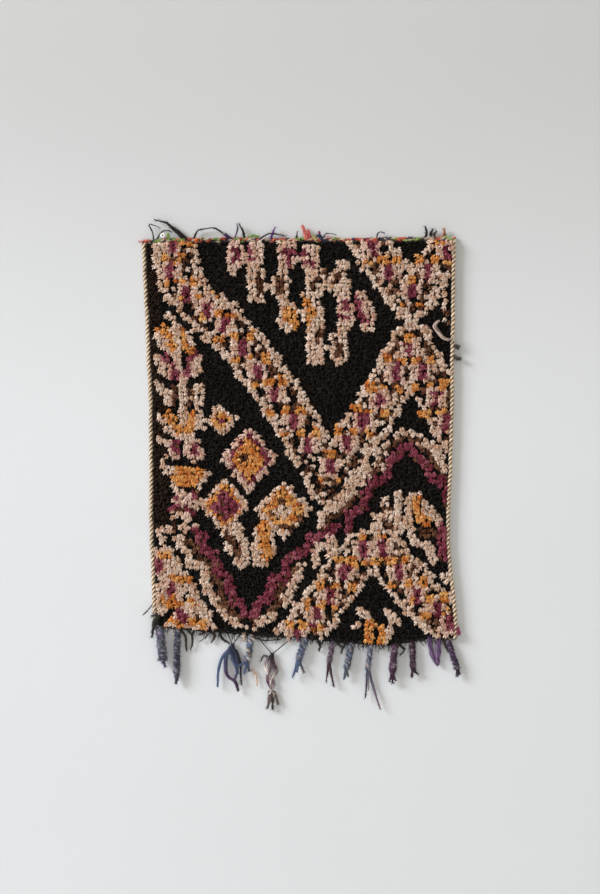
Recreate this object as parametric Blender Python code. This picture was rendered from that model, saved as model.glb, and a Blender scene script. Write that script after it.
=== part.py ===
"""A small hand-knotted wool rug with a shaggy pile, hung flat on a wall by its top edge.

Frame: metres, +Z up, the pile faces -Y and the flat back lies on the plane y = 0.
The origin is the middle of the top edge, on the back plane.
Every size below is in millimetres.
"""

import math
import random

import bmesh
import bpy
import numpy as np
from mathutils import Vector

MM = 0.001
GAP = 0.35

# Outline of the whole rug, read from the top edge down. The left side draws in towards the hem.
# Columns: height, left edge, right edge.
SIDES = (
    (5, -298, 298),
    (-110, -293, 298),
    (-225, -287, 298),
    (-310, -283, 298),
    (-565, -283, 296),
    (-620, -278, 293),
    (-680, -277, 292),
    (-735, -274, 295),
    (-790, -272, 296),
)
# Columns: place along the width, top edge, hem.
ENDS = (
    (-298, -5, -741),
    (-262, -2, -744),
    (-207, 0, -749),
    (-74, 0, -760),
    (2, 0, -764),
    (87, 0, -774),
    (173, 1, -778),
    (249, 1, -765),
    (298, 2, -769),
)

# The knotted field.
FIELD_COLUMNS = 42
FIELD_ROWS = 54
GROUND_PILE = 13.0
COARSE_PILE = 4.0
LUMP = 3.0
LUMP_SHIFT = 3.2
RIM_PILE = 8.0
HEM_LOCK = 21.0
HEM_LOCK_ROOM = 8.0
HEAD_LOCK = 6.0

# The overcast cords along both sides.
SELVEDGE_WIDTH = 8.6
SELVEDGE_SIDES = 7
SELVEDGE_STEPS = 34
SELVEDGE_WAVER = 0.5

# Every tassel, lock and loose yarn is four-sided, with a ridge to the front.
YARN_SIDES = 4
BACK_ROOM = 0.4

# The twined heading.
BRAID_WIDTH = 6.4
BRAID_DEPTH_PLACE = -4.0
BRAID_TWIST_PITCH = 25.0
BRAID_STEPS = 96
BRAID_SIDES = 6

# The strip of warp ends that carries the fringe.
STRIP_HEIGHT = 4.0
STRIP_THICKNESS = 3.2
STRIP_DEPTH_PLACE = -2.4
STRIP_STEPS = 44
PLAIT_PITCH = 12.0
TAIL_TIP_WIDTH = 2.8
THREAD_WIDTH = 2.4

# The pin.
PIN_PLACE = (-258.0, 4.0)
PIN_HEAD_WIDTH = 9.5
PIN_HEAD_THICKNESS = 2.4
PIN_SHANK_WIDTH = 1.6
PIN_HEAD_FRONT = -11.5
PIN_STEPS = 20
PIN_LOOP_WIDTH = 2.2
PIN_LOOP_SPREAD = 6.0

# Bands of coarse wool that stand above the fine dark ground, each along a line with a half width.
# Columns: half width, then the points of the line as (across, height).
COARSE_BANDS = (
    (38, ((-245, 0), (-210, -105), (-106, -210), (-10, -350), (59, -440))),
    (38, ((59, -440), (152, -308), (209, -208), (300, -370))),
    (35, ((125, 0), (172, -70), (213, -118), (245, -70), (290, 0))),
    (21, ((-235, -160), (-222, -290), (-212, -420), (-212, -545))),
    (22, ((-215, -560), (-165, -640), (-97, -715))),
    (22, ((-97, -715), (-35, -650), (68, -560), (135, -510), (200, -400), (285, -470))),
    (36, ((-10, -755), (60, -660), (135, -585), (200, -640), (290, -730))),
    (34, ((-275, -585), (-225, -680), (-190, -745))),
)
# Separate motifs of coarse wool: blocks and lozenges.
# Columns: middle across, middle height, half width, half height.
COARSE_LOZENGES = (
    (-148, -348, 27, 32),
    (-93, -422, 50, 66),
    (-141, -517, 46, 58),
    (-32, -536, 54, 70),
    (-127, -590, 36, 50),
    (-61, -590, 36, 50),
    (236, -540, 32, 58),
    (168, -525, 30, 46),
    (135, -722, 34, 50),
)
COARSE_BLOCKS = (
    (-121, -40, 17, 32),
    (-80, -35, 18, 32),
    (-74, -92, 18, 36),
    (-22, -32, 20, 26),
    (-20, -98, 18, 40),
    (18, -38, 20, 26),
    (28, -95, 22, 42),
    (32, -200, 18, 42),
    (75, -205, 20, 38),
    (90, -140, 18, 36),
    (122, -140, 18, 38),
)

# Loose yarn ends that stand up from the heading, each rooted in the middle of the braid.
# Columns: root width, tip width, root across, then points as (across, height, forward of the back plane).
LOOSE_ENDS = (
    (6.5, 2.0, -222, ((-226, 5, 5), (-239, 17, 6), (-251, 28, 7), (-262, 31, 7), (-274, 34, 8))),
    (7.0, 5.0, -216, ((-222, 3, 5), (-232, 12, 6), (-243, 19, 7))),
    (2.4, 1.8, -276, ((-277, 9, 5), (-284, 25, 6), (-274, 23, 8), (-266, 21, 9))),
    (3.0, 2.4, -200, ((-192, 13, 6), (-176, 17, 7), (-160, 18, 7), (-143, 8, 6))),
    (6.5, 8.0, -138, ((-136, 2, 5), (-130, 8, 6))),
    (2.6, 1.8, -122, ((-116, 17, 6), (-118, 27, 9))),
    (2.8, 1.8, -105, ((-108, 17, 6), (-114, 27, 9))),
    (3.0, 2.0, -64, ((-47, 8, 6), (-27, 4, 7))),
    (3.4, 2.4, -51, ((-50, 9, 6), (-45, 19, 8))),
    (2.4, 1.8, -4, ((-4, 4, 5), (-4, 11, 6))),
    (6.5, 3.0, 8, ((7, 10, 6), (9, 20, 8))),
    (6.5, 3.0, 15, ((19, 7, 6), (25, 14, 8))),
    (5.0, 4.0, 31, ((31, 3, 5), (32, 8, 6))),
    (4.4, 2.8, 38, ((37, 4, 5), (36, 10, 7))),
    (2.4, 1.8, 46, ((52, 6, 6), (60, 5, 7))),
    (2.4, 1.8, 150, ((153, 9, 6), (161, 9, 7))),
    (4.6, 2.4, 238, ((243, 11, 6), (239, 19, 8))),
    (4.6, 2.4, 250, ((251, 9, 6), (254, 17, 8))),
    (4.0, 2.4, 273, ((277, 8, 6), (275, 16, 8))),
    (6.5, 6.0, 276, ((284, 3, 5), (293, 0, 6))),
    (5.0, 3.0, -288, ((-296, -6, 5), (-303, -8, 6))),
)

# Plaited and twisted tassels along the hem.
# Columns: root across, foot across, foot height, width, then the tails as (across, down) from the foot.
TASSELS = (
    (-262, -254, -800, 14, ((-5, -10), (4, -14))),
    (-230, -232, -838, 12, ((-3, -18), (4, -14))),
    (-90, -98, -812, 11, ((-9, -12), (6, -14), (17, -38))),
    (13, -1, -812, 12, ((-8, -26), (13, -20))),
    (64, 58, -812, 11, ((-5, -36), (9, -42))),
    (100, 93, -822, 11, ((-4, -20), (4, -14))),
    (137, 136, -828, 11, ((-5, -28), (20, -68))),
    (182, 177, -832, 12, ((-4, -16), (4, -12))),
    (215, 217, -822, 11, ((-2, -20), (8, -10))),
    (280, 300, -818, 11, ((-2, -20), (6, -14))),
)
# Tassels that hang from a V of thin thread.
# Columns: thread's left root, its right root, knot across, knot height, width, then the tails from the knot.
THREAD_TASSELS = (
    (-137, -110, -126, -776, 9, ((-29, -78), (6, -84), (-1, -50), (-16, -60))),
    (-82, -11, -51, -790, 10, ((-1, -70), (-6, -102), (5, -48))),
)
# Thin loose yarns under the hem.
# Columns: width, then points as (across, height).
HEM_YARNS = (
    (3.0, ((-220, -745), (-222, -772), (-212, -783), (-205, -768))),
    (2.2, ((-169, -748), (-176, -757), (-188, -765))),
    (4.0, ((-164, -748), (-166, -768))),
    (4.0, ((-147, -750), (-146, -769))),
    (2.4, ((252, -762), (249, -784), (255, -800), (261, -812))),
    (2.4, ((262, -762), (258, -790), (254, -798))),
)


def clear_scene():
    """Empty the file of objects."""
    for old in list(bpy.data.objects):
        bpy.data.objects.remove(old, do_unlink=True)


def finish(name, colour, roughness):
    """A Principled BSDF material of one colour."""
    material = bpy.data.materials.new(name)
    material.use_nodes = True
    shader = material.node_tree.nodes["Principled BSDF"]
    shader.inputs["Base Color"].default_value = (*colour, 1.0)
    shader.inputs["Roughness"].default_value = roughness
    shader.inputs["Metallic"].default_value = 0.0
    return material


def object_from(name, mesh, *materials):
    """Link a mesh into the scene as a named object with its materials."""
    item = bpy.data.objects.new(name, mesh)
    bpy.context.collection.objects.link(item)
    for material in materials:
        mesh.materials.append(material)
    return item


def mesh_from(name, shape):
    """Turn a bmesh into a mesh in metres, with its faces pointing out."""
    bmesh.ops.recalc_face_normals(shape, faces=shape.faces)
    bmesh.ops.scale(shape, vec=(MM, MM, MM), verts=shape.verts)
    mesh = bpy.data.meshes.new(name)
    shape.to_mesh(mesh)
    shape.free()
    return mesh


def column(table, index):
    """One named column of a table, as an array."""
    return np.array([row[index] for row in table], dtype=float)


def side_at(height, index):
    """The outline's left (1) or right (2) edge at a height."""
    return np.interp(-np.asarray(height), -column(SIDES, 0), column(SIDES, index))


def end_at(across, index):
    """The outline's top edge (1) or hem (2) at a place along the width."""
    return np.interp(across, column(ENDS, 0), column(ENDS, index))


def smooth_path(points, steps):
    """Points on a Catmull-Rom curve through the given ones, at even parameter steps."""
    knots = np.array(points, dtype=float)
    padded = np.vstack([2 * knots[0] - knots[1], knots, 2 * knots[-1] - knots[-2]])
    place = np.linspace(0, len(knots) - 1, steps + 1)
    start = np.minimum(place.astype(int), len(knots) - 2)
    t = (place - start)[:, None]
    a, b, c, d = (padded[start + offset] for offset in range(4))
    return 0.5 * (2 * b + (c - a) * t + (2 * a - 5 * b + 4 * c - d) * t**2 + (3 * b - a - 3 * c + d) * t**3)


def add_strand(shape, path, widths, sides):
    """Add a closed tube along a path, with a width at each point and flat ends.

    The path never runs straight at the viewer, so each ring is set from the forward axis. It is
    turned a little by where the strand ends, so that no two neighbours' ridges coincide, and it is
    drawn in where it would pass behind the back plane.
    """
    widths = np.minimum(widths, -2 * path[:, 1] - BACK_ROOM)
    turn = 0.3 * math.sin(path[0][0] + 1.7 * path[-1][0] + path[-1][2])
    tangents = np.gradient(path, axis=0)
    rings = []
    for centre, tangent, width in zip(path, tangents, widths):
        along = Vector(tangent).normalized()
        across = along.cross(Vector((0, 1, 0))).normalized()
        forward = along.cross(across)
        ring = []
        for side in range(sides):
            angle = turn + 2 * math.pi * side / sides
            offset = across * math.cos(angle) + forward * math.sin(angle)
            ring.append(shape.verts.new(Vector(centre) + offset * (width / 2)))
        rings.append(ring)
    skin_rings(shape, rings)


def skin_rings(shape, rings):
    """Close a tube over rings of corners, with a flat face at each end."""
    sides = len(rings[0])
    for ring, following in zip(rings, rings[1:]):
        for side in range(sides):
            after = (side + 1) % sides
            shape.faces.new((ring[side], ring[after], following[after], following[side]))
    shape.faces.new(rings[0])
    shape.faces.new(rings[-1])


def line_distance(x, z, points):
    """The shortest distance from each place to a line of straight stretches."""
    nearest = np.full(x.shape, np.inf)
    for (ax, az), (bx, bz) in zip(points, points[1:]):
        dx, dz = bx - ax, bz - az
        share = np.clip(((x - ax) * dx + (z - az) * dz) / (dx * dx + dz * dz), 0, 1)
        nearest = np.minimum(nearest, np.hypot(x - ax - share * dx, z - az - share * dz))
    return nearest


def coarse_wool(x, z):
    """1 where the coarse motif wool stands above the fine ground, and 0 elsewhere."""
    found = np.zeros(x.shape, dtype=bool)
    for half_width, points in COARSE_BANDS:
        found |= line_distance(x, z, points) < half_width
    for middle_x, middle_z, half_width, half_height in COARSE_LOZENGES:
        found |= np.abs(x - middle_x) / half_width + np.abs(z - middle_z) / half_height < 1
    for middle_x, middle_z, half_width, half_height in COARSE_BLOCKS:
        found |= (np.abs(x - middle_x) < half_width) & (np.abs(z - middle_z) < half_height)
    return found.astype(float)


def field_grid():
    """Places of the field's grid points across and in height, and their depth of pile."""
    noise = np.random.default_rng(11)
    u, v = np.meshgrid(np.linspace(0, 1, FIELD_COLUMNS + 1), np.linspace(0, 1, FIELD_ROWS + 1))
    inside = np.minimum(np.minimum(u, 1 - u) * FIELD_COLUMNS, np.minimum(v, 1 - v) * FIELD_ROWS)
    edge_room = SELVEDGE_WIDTH + SELVEDGE_WAVER + 2 * GAP
    head_room = BRAID_WIDTH + GAP + 0.3
    rough_height = -v * 770
    left, right = side_at(rough_height, 1) + edge_room, side_at(rough_height, 2) - edge_room
    x = left + (right - left) * u
    top, hem = end_at(x, 1) - head_room, end_at(x, 2) + HEM_LOCK_ROOM
    z = top + (hem - top) * v
    loose = inside > 0.5
    x = x + loose * noise.uniform(-LUMP_SHIFT, LUMP_SHIFT, x.shape)
    z = z + loose * noise.uniform(-LUMP_SHIFT, LUMP_SHIFT, z.shape)
    lumps = noise.uniform(-LUMP, LUMP, x.shape)
    pile = GROUND_PILE + COARSE_PILE * coarse_wool(x, z) + lumps
    return x, z, np.where(loose, pile, RIM_PILE + 0.4 * lumps)


def grow_lock(shape, face, reach, drift):
    """Draw one pile face out into a tapered lock of yarn: forward a little, then along its reach."""
    steps = ((0.30, -3.0, 0.70), (0.36, -0.8, 0.66), (0.34, 0.8, 0.45))
    for share, forward, taper in steps:
        grown = bmesh.ops.extrude_discrete_faces(shape, faces=[face])
        face = grown["faces"][0]
        centre = face.calc_center_median()
        move = Vector((drift * share, forward, reach * share))
        for corner in face.verts:
            corner.co = centre + (corner.co - centre) * taper + move


def build_field(ground, coarse):
    """The knotted field: a lumpy slab with a flat back and locks hanging over its hem and head."""
    draw = random.Random(5)
    x, z, pile = field_grid()
    shape = bmesh.new()
    front = [
        [shape.verts.new((x[j, i], -pile[j, i], z[j, i])) for i in range(FIELD_COLUMNS + 1)]
        for j in range(FIELD_ROWS + 1)
    ]
    faces = {}
    for j in range(FIELD_ROWS):
        for i in range(FIELD_COLUMNS):
            corners = (front[j][i], front[j][i + 1], front[j + 1][i + 1], front[j + 1][i])
            faces[j, i] = shape.faces.new(corners)
    down_right = [row[-1] for row in front[:-1]]
    up_left = [row[0] for row in front[:0:-1]]
    rim = front[0][:-1] + down_right + front[-1][:0:-1] + up_left
    back = [shape.verts.new((point.co.x, 0.0, point.co.z)) for point in rim]
    for place in range(len(rim)):
        after = (place + 1) % len(rim)
        shape.faces.new((rim[place], back[place], back[after], rim[after]))
    flat_back = shape.faces.new(back)
    bmesh.ops.recalc_face_normals(shape, faces=shape.faces)
    bmesh.ops.triangulate(shape, faces=[flat_back], ngon_method="BEAUTY")
    for face in faces.values():
        centre = face.calc_center_median()
        face.material_index = int(coarse_wool(np.array(centre.x), np.array(centre.z)))
    for i in range(FIELD_COLUMNS):
        reach = HEM_LOCK * draw.uniform(0.7, 1.25)
        grow_lock(shape, faces[FIELD_ROWS - 1, i], -reach, draw.uniform(-6, 6))
    for i in range(1, FIELD_COLUMNS - 1, 3):
        grow_lock(shape, faces[0, i], HEAD_LOCK * draw.uniform(0.6, 1.1), draw.uniform(-5, 5))
    object_from("rug_field", mesh_from("rug_field", shape), ground, coarse)


def build_selvedge(name, index, inward, material):
    """One overcast cord down the side of the rug, wavering a little."""
    top = end_at(inward * -290, 1) - BRAID_WIDTH - GAP
    foot = end_at(inward * -290, 2) + HEM_LOCK_ROOM
    heights = np.linspace(top, foot, SELVEDGE_STEPS + 1)
    waver = SELVEDGE_WAVER * np.sin(heights / 31.0) * np.sin(heights / 13.0 + 1)
    middle = side_at(heights, index) + inward * SELVEDGE_WIDTH / 2 + waver
    path = np.stack([middle, np.full_like(middle, -SELVEDGE_WIDTH / 2 - 0.2), heights], axis=1)
    widths = SELVEDGE_WIDTH - 0.5 + 0.4 * np.cos(heights / 5.0)
    shape = bmesh.new()
    add_strand(shape, path, widths, SELVEDGE_SIDES)
    item = object_from(name, mesh_from(name, shape), material)
    item.data.shade_smooth()


def fuse(item, strands, name):
    """Join a mesh of strands to an object with a union, and keep the strands as a hidden guide."""
    guide = object_from(name, strands)
    guide.hide_render = True
    guide.display_type = "WIRE"
    union = item.modifiers.new("Fused strands", "BOOLEAN")
    union.operation = "UNION"
    union.solver = "EXACT"
    union.use_self = True
    union.object = guide


def build_head_braid(material):
    """The twined heading along the top edge with its loose yarn ends."""
    x = np.linspace(-296, 296, BRAID_STEPS + 1)
    z = end_at(x, 1) - BRAID_WIDTH / 2
    path = np.stack([x, np.full_like(x, BRAID_DEPTH_PLACE), z], axis=1)
    widths = BRAID_WIDTH * (0.90 + 0.10 * np.cos(2 * math.pi * x / BRAID_TWIST_PITCH))
    shape = bmesh.new()
    add_strand(shape, path, widths, BRAID_SIDES)
    braid = object_from("head_braid", mesh_from("head_braid", shape), material)
    ends = bmesh.new()
    for root_width, tip_width, root, points in LOOSE_ENDS:
        placed = [braid_middle(root)] + [(across, -forward, height) for across, height, forward in points]
        path = smooth_path(placed, 3 * len(points))
        add_strand(ends, path, np.linspace(root_width, tip_width, len(path)), YARN_SIDES)
    add_pin_loop(ends)
    fuse(braid, mesh_from("loose_ends", ends), "loose_ends")


def add_pin_loop(shape):
    """The loop of yarn that goes over the pin's shank and carries the rug."""
    across, height = PIN_PLACE
    over = height + (PIN_SHANK_WIDTH + PIN_LOOP_WIDTH) / 2 + GAP
    left, right = across - PIN_LOOP_SPREAD, across + PIN_LOOP_SPREAD
    shoulders = [(across + side * 0.6 * PIN_LOOP_SPREAD, BRAID_DEPTH_PLACE, over - 2.5) for side in (-1, 1)]
    crown = (across, BRAID_DEPTH_PLACE, over)
    path = smooth_path((braid_middle(left), shoulders[0], crown, shoulders[1], braid_middle(right)), 12)
    add_strand(shape, path, np.full(len(path), PIN_LOOP_WIDTH), YARN_SIDES)


def braid_middle(across):
    """The middle of the braid at a place along the width."""
    return (across, BRAID_DEPTH_PLACE, float(end_at(across, 1)) - BRAID_WIDTH / 2)


def add_tassel(shape, tassel):
    """A plaited tassel: ridged crossings down to its foot, and the loose tails below it."""
    root_x, foot_x, foot_z, width, tails = tassel
    root_z = strip_middle(root_x)
    steps = 2 * round(abs(root_z - foot_z) / PLAIT_PITCH)
    depth = -width / 2 - BACK_ROOM
    root = (root_x, STRIP_DEPTH_PLACE, root_z)
    bend = (0.7 * root_x + 0.3 * foot_x, depth, 0.6 * root_z + 0.4 * foot_z)
    path = smooth_path((root, bend, (foot_x, depth, foot_z)), steps)
    widths = width * (0.88 + 0.14 * np.cos(math.pi * np.arange(steps + 1)))
    add_strand(shape, path, widths, YARN_SIDES)
    for across, down in tails:
        middle = (foot_x + 0.35 * across, depth - 1, foot_z + 0.5 * down)
        tip = (foot_x + across, depth - 2, foot_z + down)
        tail = smooth_path(((foot_x, depth, foot_z + 3), middle, tip), 4)
        add_strand(shape, tail, np.linspace(0.5 * width, TAIL_TIP_WIDTH, len(tail)), YARN_SIDES)


def add_thread_tassel(shape, tassel):
    """A tassel that hangs clear of the hem from a V of thin thread."""
    left, right, knot_x, knot_z, width, tails = tassel
    depth = -width / 2 - BACK_ROOM
    for root_x in (left, right):
        root = (root_x, STRIP_DEPTH_PLACE, strip_middle(root_x))
        thread = smooth_path((root, (knot_x, depth, knot_z)), 4)
        add_strand(shape, thread, np.full(len(thread), THREAD_WIDTH), YARN_SIDES)
    knot = smooth_path(((knot_x, depth, knot_z + 4), (knot_x, depth, knot_z - 8)), 4)
    add_strand(shape, knot, width * np.array((0.6, 1.0, 1.1, 1.0, 0.7)), YARN_SIDES)
    for across, down in tails:
        middle = (knot_x + 0.8 * across, depth - 1, knot_z + 0.5 * down)
        tip = (knot_x + across, depth - 2, knot_z + down)
        tail = smooth_path(((knot_x, depth, knot_z - 4), middle, tip), 6)
        add_strand(shape, tail, np.linspace(0.8 * width, TAIL_TIP_WIDTH, len(tail)), YARN_SIDES)


def strip_middle(across):
    """Height of the middle of the strip of warp ends."""
    return end_at(across, 2) + HEM_LOCK_ROOM - GAP - STRIP_HEIGHT / 2


def build_fringe(material):
    """The strip of warp ends under the hem, with tassels and loose yarns fused to it."""
    shape = bmesh.new()
    x = np.linspace(side_at(-741, 1) + 12, side_at(-770, 2) - 12, STRIP_STEPS + 1)
    rings = []
    for across, middle in zip(x, strip_middle(x)):
        low, high = middle - STRIP_HEIGHT / 2, middle + STRIP_HEIGHT / 2
        near, far = STRIP_DEPTH_PLACE - STRIP_THICKNESS / 2, STRIP_DEPTH_PLACE + STRIP_THICKNESS / 2
        corners = ((near, low), (near, high), (far, high), (far, low))
        rings.append([shape.verts.new((across, y, z)) for y, z in corners])
    skin_rings(shape, rings)
    strip = object_from("fringe", mesh_from("fringe", shape), material)
    strands = bmesh.new()
    for tassel in TASSELS:
        add_tassel(strands, tassel)
    for tassel in THREAD_TASSELS:
        add_thread_tassel(strands, tassel)
    for width, points in HEM_YARNS:
        placed = [(across, STRIP_DEPTH_PLACE, height) for across, height in points]
        placed[0] = (placed[0][0], STRIP_DEPTH_PLACE, float(strip_middle(placed[0][0])))
        path = smooth_path(placed, 3 * (len(points) - 1))
        add_strand(strands, path, np.full(len(path), width), YARN_SIDES)
    fuse(strip, mesh_from("fringe_strands", strands), "fringe_strands")


def build_pin(material):
    """The pin: a domed white head with a small hollow, and a shank back to the wall plane."""
    head, shank = PIN_HEAD_WIDTH / 2, PIN_SHANK_WIDTH / 2
    front, rear = PIN_HEAD_FRONT, PIN_HEAD_FRONT + PIN_HEAD_THICKNESS
    hollow = ((0, front + 0.8), (0.2 * head, front + 0.8), (0.45 * head, front))
    dome = ((0.75 * head, front + 0.2), (head, front + 1.1), (head, rear))
    profile = hollow + dome + ((shank, rear), (shank, 0), (0, 0))
    shape = bmesh.new()
    corners = [shape.verts.new((radius, y, 0)) for radius, y in profile]
    edges = [shape.edges.new(pair) for pair in zip(corners, corners[1:])]
    turn = {"cent": (0, 0, 0), "axis": (0, 1, 0), "angle": 2 * math.pi, "steps": PIN_STEPS}
    bmesh.ops.spin(shape, geom=corners + edges, **turn)
    bmesh.ops.remove_doubles(shape, verts=shape.verts, dist=0.01)
    bmesh.ops.translate(shape, vec=(PIN_PLACE[0], 0, PIN_PLACE[1]), verts=shape.verts)
    item = object_from("hanging_pin", mesh_from("hanging_pin", shape), material)
    item.data.shade_smooth()
    item.data.set_sharp_from_angle(angle=math.radians(40))


def main():
    """Build the rug, piece by piece."""
    clear_scene()
    ground = finish("Fine black wool", (0.010, 0.009, 0.008), 0.95)
    coarse = finish("Coarse cream wool", (0.66, 0.50, 0.39), 0.92)
    overcast = finish("Tan and brown overcast wool", (0.52, 0.40, 0.26), 0.90)
    heading = finish("Coral and green twined wool", (0.55, 0.16, 0.07), 0.90)
    tassels = finish("Slate and purple wool", (0.09, 0.08, 0.14), 0.92)
    plastic = finish("White plastic", (0.80, 0.80, 0.78), 0.35)
    build_field(ground, coarse)
    build_selvedge("selvedge_left", 1, 1, overcast)
    build_selvedge("selvedge_right", 2, -1, overcast)
    build_head_braid(heading)
    build_fringe(tassels)
    build_pin(plastic)


main()
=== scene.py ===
"""The looks of a small hand-knotted wool rug that hangs flat on one pin.

The rug faces -Y and its flat back lies on the plane y = 0. Sizes in the classes are millimetres, and
each mesh is written in metres. X runs across the rug from its middle, and Z runs up from its top edge.
"""

from __future__ import annotations

import logging
import math
from dataclasses import dataclass, field
from enum import IntEnum
from typing import Any, Sequence

import bpy
import numpy as np
from numpy.typing import NDArray
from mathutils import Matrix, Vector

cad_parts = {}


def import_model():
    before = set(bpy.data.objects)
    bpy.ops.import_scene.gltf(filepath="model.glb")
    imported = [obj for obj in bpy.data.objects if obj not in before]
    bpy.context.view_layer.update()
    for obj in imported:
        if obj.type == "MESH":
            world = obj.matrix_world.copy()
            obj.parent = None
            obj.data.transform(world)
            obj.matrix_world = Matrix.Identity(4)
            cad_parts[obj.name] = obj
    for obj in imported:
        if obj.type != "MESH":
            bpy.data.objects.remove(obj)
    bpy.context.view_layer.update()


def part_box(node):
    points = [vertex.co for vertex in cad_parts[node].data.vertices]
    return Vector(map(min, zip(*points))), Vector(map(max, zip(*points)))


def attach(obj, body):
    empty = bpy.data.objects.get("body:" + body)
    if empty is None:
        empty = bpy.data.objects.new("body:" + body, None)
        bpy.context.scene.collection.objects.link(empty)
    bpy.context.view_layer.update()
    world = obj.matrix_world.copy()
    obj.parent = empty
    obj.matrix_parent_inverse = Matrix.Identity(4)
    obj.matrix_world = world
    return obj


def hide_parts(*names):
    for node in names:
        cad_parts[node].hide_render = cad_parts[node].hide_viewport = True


Array = NDArray[np.float64]
Mask = NDArray[np.bool_]
Points = Sequence[tuple[float, float]]
Points3 = Sequence[tuple[float, float, float]]

MM = 0.001
LOG = logging.getLogger("rug")


class Wool(IntEnum):
    """The yarns that the knots are tied from."""

    BLACK = 0
    CREAM = 1
    ORANGE = 2
    MAGENTA = 3
    BROWN = 4


BLACK, CREAM, ORANGE, MAGENTA, BROWN = Wool


# Colour


def linear(shade: str) -> tuple[float, float, float, float]:
    """Turn an sRGB hex value into linear colour.

    Each channel c above 0.04045 becomes ((c + 0.055) / 1.055) to the power 2.4, and one below it c / 12.92.

    Args:
        shade: the colour as "#rrggbb".

    Returns:
        Linear red, green and blue, and an alpha of 1.
    """
    parts = [int(shade[i : i + 2], 16) / 255 for i in (1, 3, 5)]
    red, green, blue = (c / 12.92 if c <= 0.04045 else ((c + 0.055) / 1.055) ** 2.4 for c in parts)
    return (red, green, blue, 1.0)


# Meshes from whole arrays


def write_mesh(
    name: str, places: Array, quads: NDArray, tris: NDArray, colours: dict[str, Array]
) -> bpy.types.Object:
    """Make a smooth-shaded mesh object at the origin from arrays in millimetres.

    Args:
        name: the object's name.
        places: one row of x, y, z for each vertex.
        quads: rows of four vertex numbers.
        tris: rows of three vertex numbers.
        colours: point attributes by name, each one row of three numbers for each vertex.

    Returns:
        The object, linked into the scene.
    """
    mesh = bpy.data.meshes.new(name)
    corners = np.concatenate([quads.ravel(), tris.ravel()]).astype(np.int32)
    sizes = np.concatenate([np.full(len(quads), 4), np.full(len(tris), 3)]).astype(np.int32)
    starts = (np.cumsum(sizes) - sizes).astype(np.int32)
    mesh.vertices.add(len(places))
    mesh.vertices.foreach_set("co", (places * MM).astype(np.float32).ravel())
    mesh.loops.add(len(corners))
    mesh.loops.foreach_set("vertex_index", corners)
    mesh.polygons.add(len(sizes))
    mesh.polygons.foreach_set("loop_start", starts)
    mesh.polygons.foreach_set("use_smooth", np.ones(len(sizes), dtype=bool))
    mesh.update(calc_edges=True)
    for label, values in colours.items():
        layer = mesh.attributes.new(label, "FLOAT_COLOR", "POINT")
        packed = np.ones((len(places), 4), dtype=np.float32)
        packed[:, :3] = values
        layer.data.foreach_set("color", packed.ravel())
    mesh.validate()
    item = bpy.data.objects.new(name, mesh)
    bpy.context.scene.collection.objects.link(item)
    return item


def unit(vectors: Array) -> Array:
    """Scale each vector to a length of one."""
    return vectors / np.maximum(np.linalg.norm(vectors, axis=-1, keepdims=True), 1e-9)


@dataclass
class TubeSet:
    """Closed round tubes along many paths of the same number of points.

    Ring k of a tube lies round point P_k: P_k + r_k (cos a * A_k + sin a * B_k), where A_k is the path's
    direction crossed with the tube's own reference vector, and B_k is at right angles to both. A pointed
    tube ends in one place instead of a ring.
    """

    paths: Array
    radii: Array
    references: Array
    sides: int = 3
    colours: dict[str, Array] = field(default_factory=dict)
    pointed: bool = False

    def arrays(self) -> tuple[Array, NDArray, NDArray, dict[str, Array]]:
        """Work out the tubes.

        Returns:
            Places, quads round the sides, the triangles of the ends, and each attribute for each vertex.
        """
        count, rings = self.paths.shape[:2]
        along = unit(np.gradient(self.paths, axis=1))
        across = unit(np.cross(along, self.references[:, None, :]))
        other = np.cross(across, along)
        angle = 2 * np.pi * np.arange(self.sides) / self.sides
        turn = np.cos(angle)[:, None] * across[:, :, None, :] + np.sin(angle)[:, None] * other[:, :, None, :]
        places = (self.paths[:, :, None, :] + self.radii[:, :, None, None] * turn).reshape(-1, 3)
        index = np.arange(count * rings * self.sides).reshape(count, rings, self.sides)
        spread = {name: np.repeat(v.reshape(-1, 3), self.sides, axis=0) for name, v in self.colours.items()}
        fan = np.arange(1, self.sides - 1)
        first, last = index[:, 0], index[:, -1]
        roots = np.stack([np.repeat(first[:, :1], len(fan), 1), first[:, fan + 1], first[:, fan]], axis=-1)
        if self.pointed:
            keep = np.ones(index.shape, dtype=bool)
            keep[:, -1, 1:] = False
            number = np.cumsum(keep.ravel()) - 1
            places = places[keep.ravel()]
            places[number[last[:, 0]]] = self.paths[:, -1]
            spread = {name: v[keep.ravel()] for name, v in spread.items()}
            ring, after = index[:, :-1], np.roll(index[:, :-1], -1, axis=2)
            point = np.repeat(last[:, :1], self.sides, 1)
            tips = np.stack([ring[:, -1], after[:, -1], point], axis=-1)
        else:
            number = np.arange(index.size)
            ring, after = index, np.roll(index, -1, axis=2)
            tips = np.stack([np.repeat(last[:, :1], len(fan), 1), last[:, fan], last[:, fan + 1]], axis=-1)
        quads = np.stack([ring[:, :-1], after[:, :-1], after[:, 1:], ring[:, 1:]], axis=-1)
        tris = np.concatenate([roots.reshape(-1, 3), tips.reshape(-1, 3)])
        return places, number[quads.reshape(-1, 4)], number[tris], spread


def join_tubes(name: str, sets: Sequence[TubeSet]) -> bpy.types.Object:
    """Put several sets of tubes into one mesh object.

    Args:
        name: the object's name.
        sets: the tubes, whose attributes have the same names.

    Returns:
        The object.
    """
    parts = [one.arrays() for one in sets]
    starts = np.cumsum([0] + [len(part[0]) for part in parts[:-1]])
    places = np.concatenate([part[0] for part in parts])
    quads = np.concatenate([part[1] + start for part, start in zip(parts, starts)])
    tris = np.concatenate([part[2] + start for part, start in zip(parts, starts)])
    colours = {label: np.concatenate([part[3][label] for part in parts]) for label in parts[0][3]}
    return write_mesh(name, places, quads, tris, colours)


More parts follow.
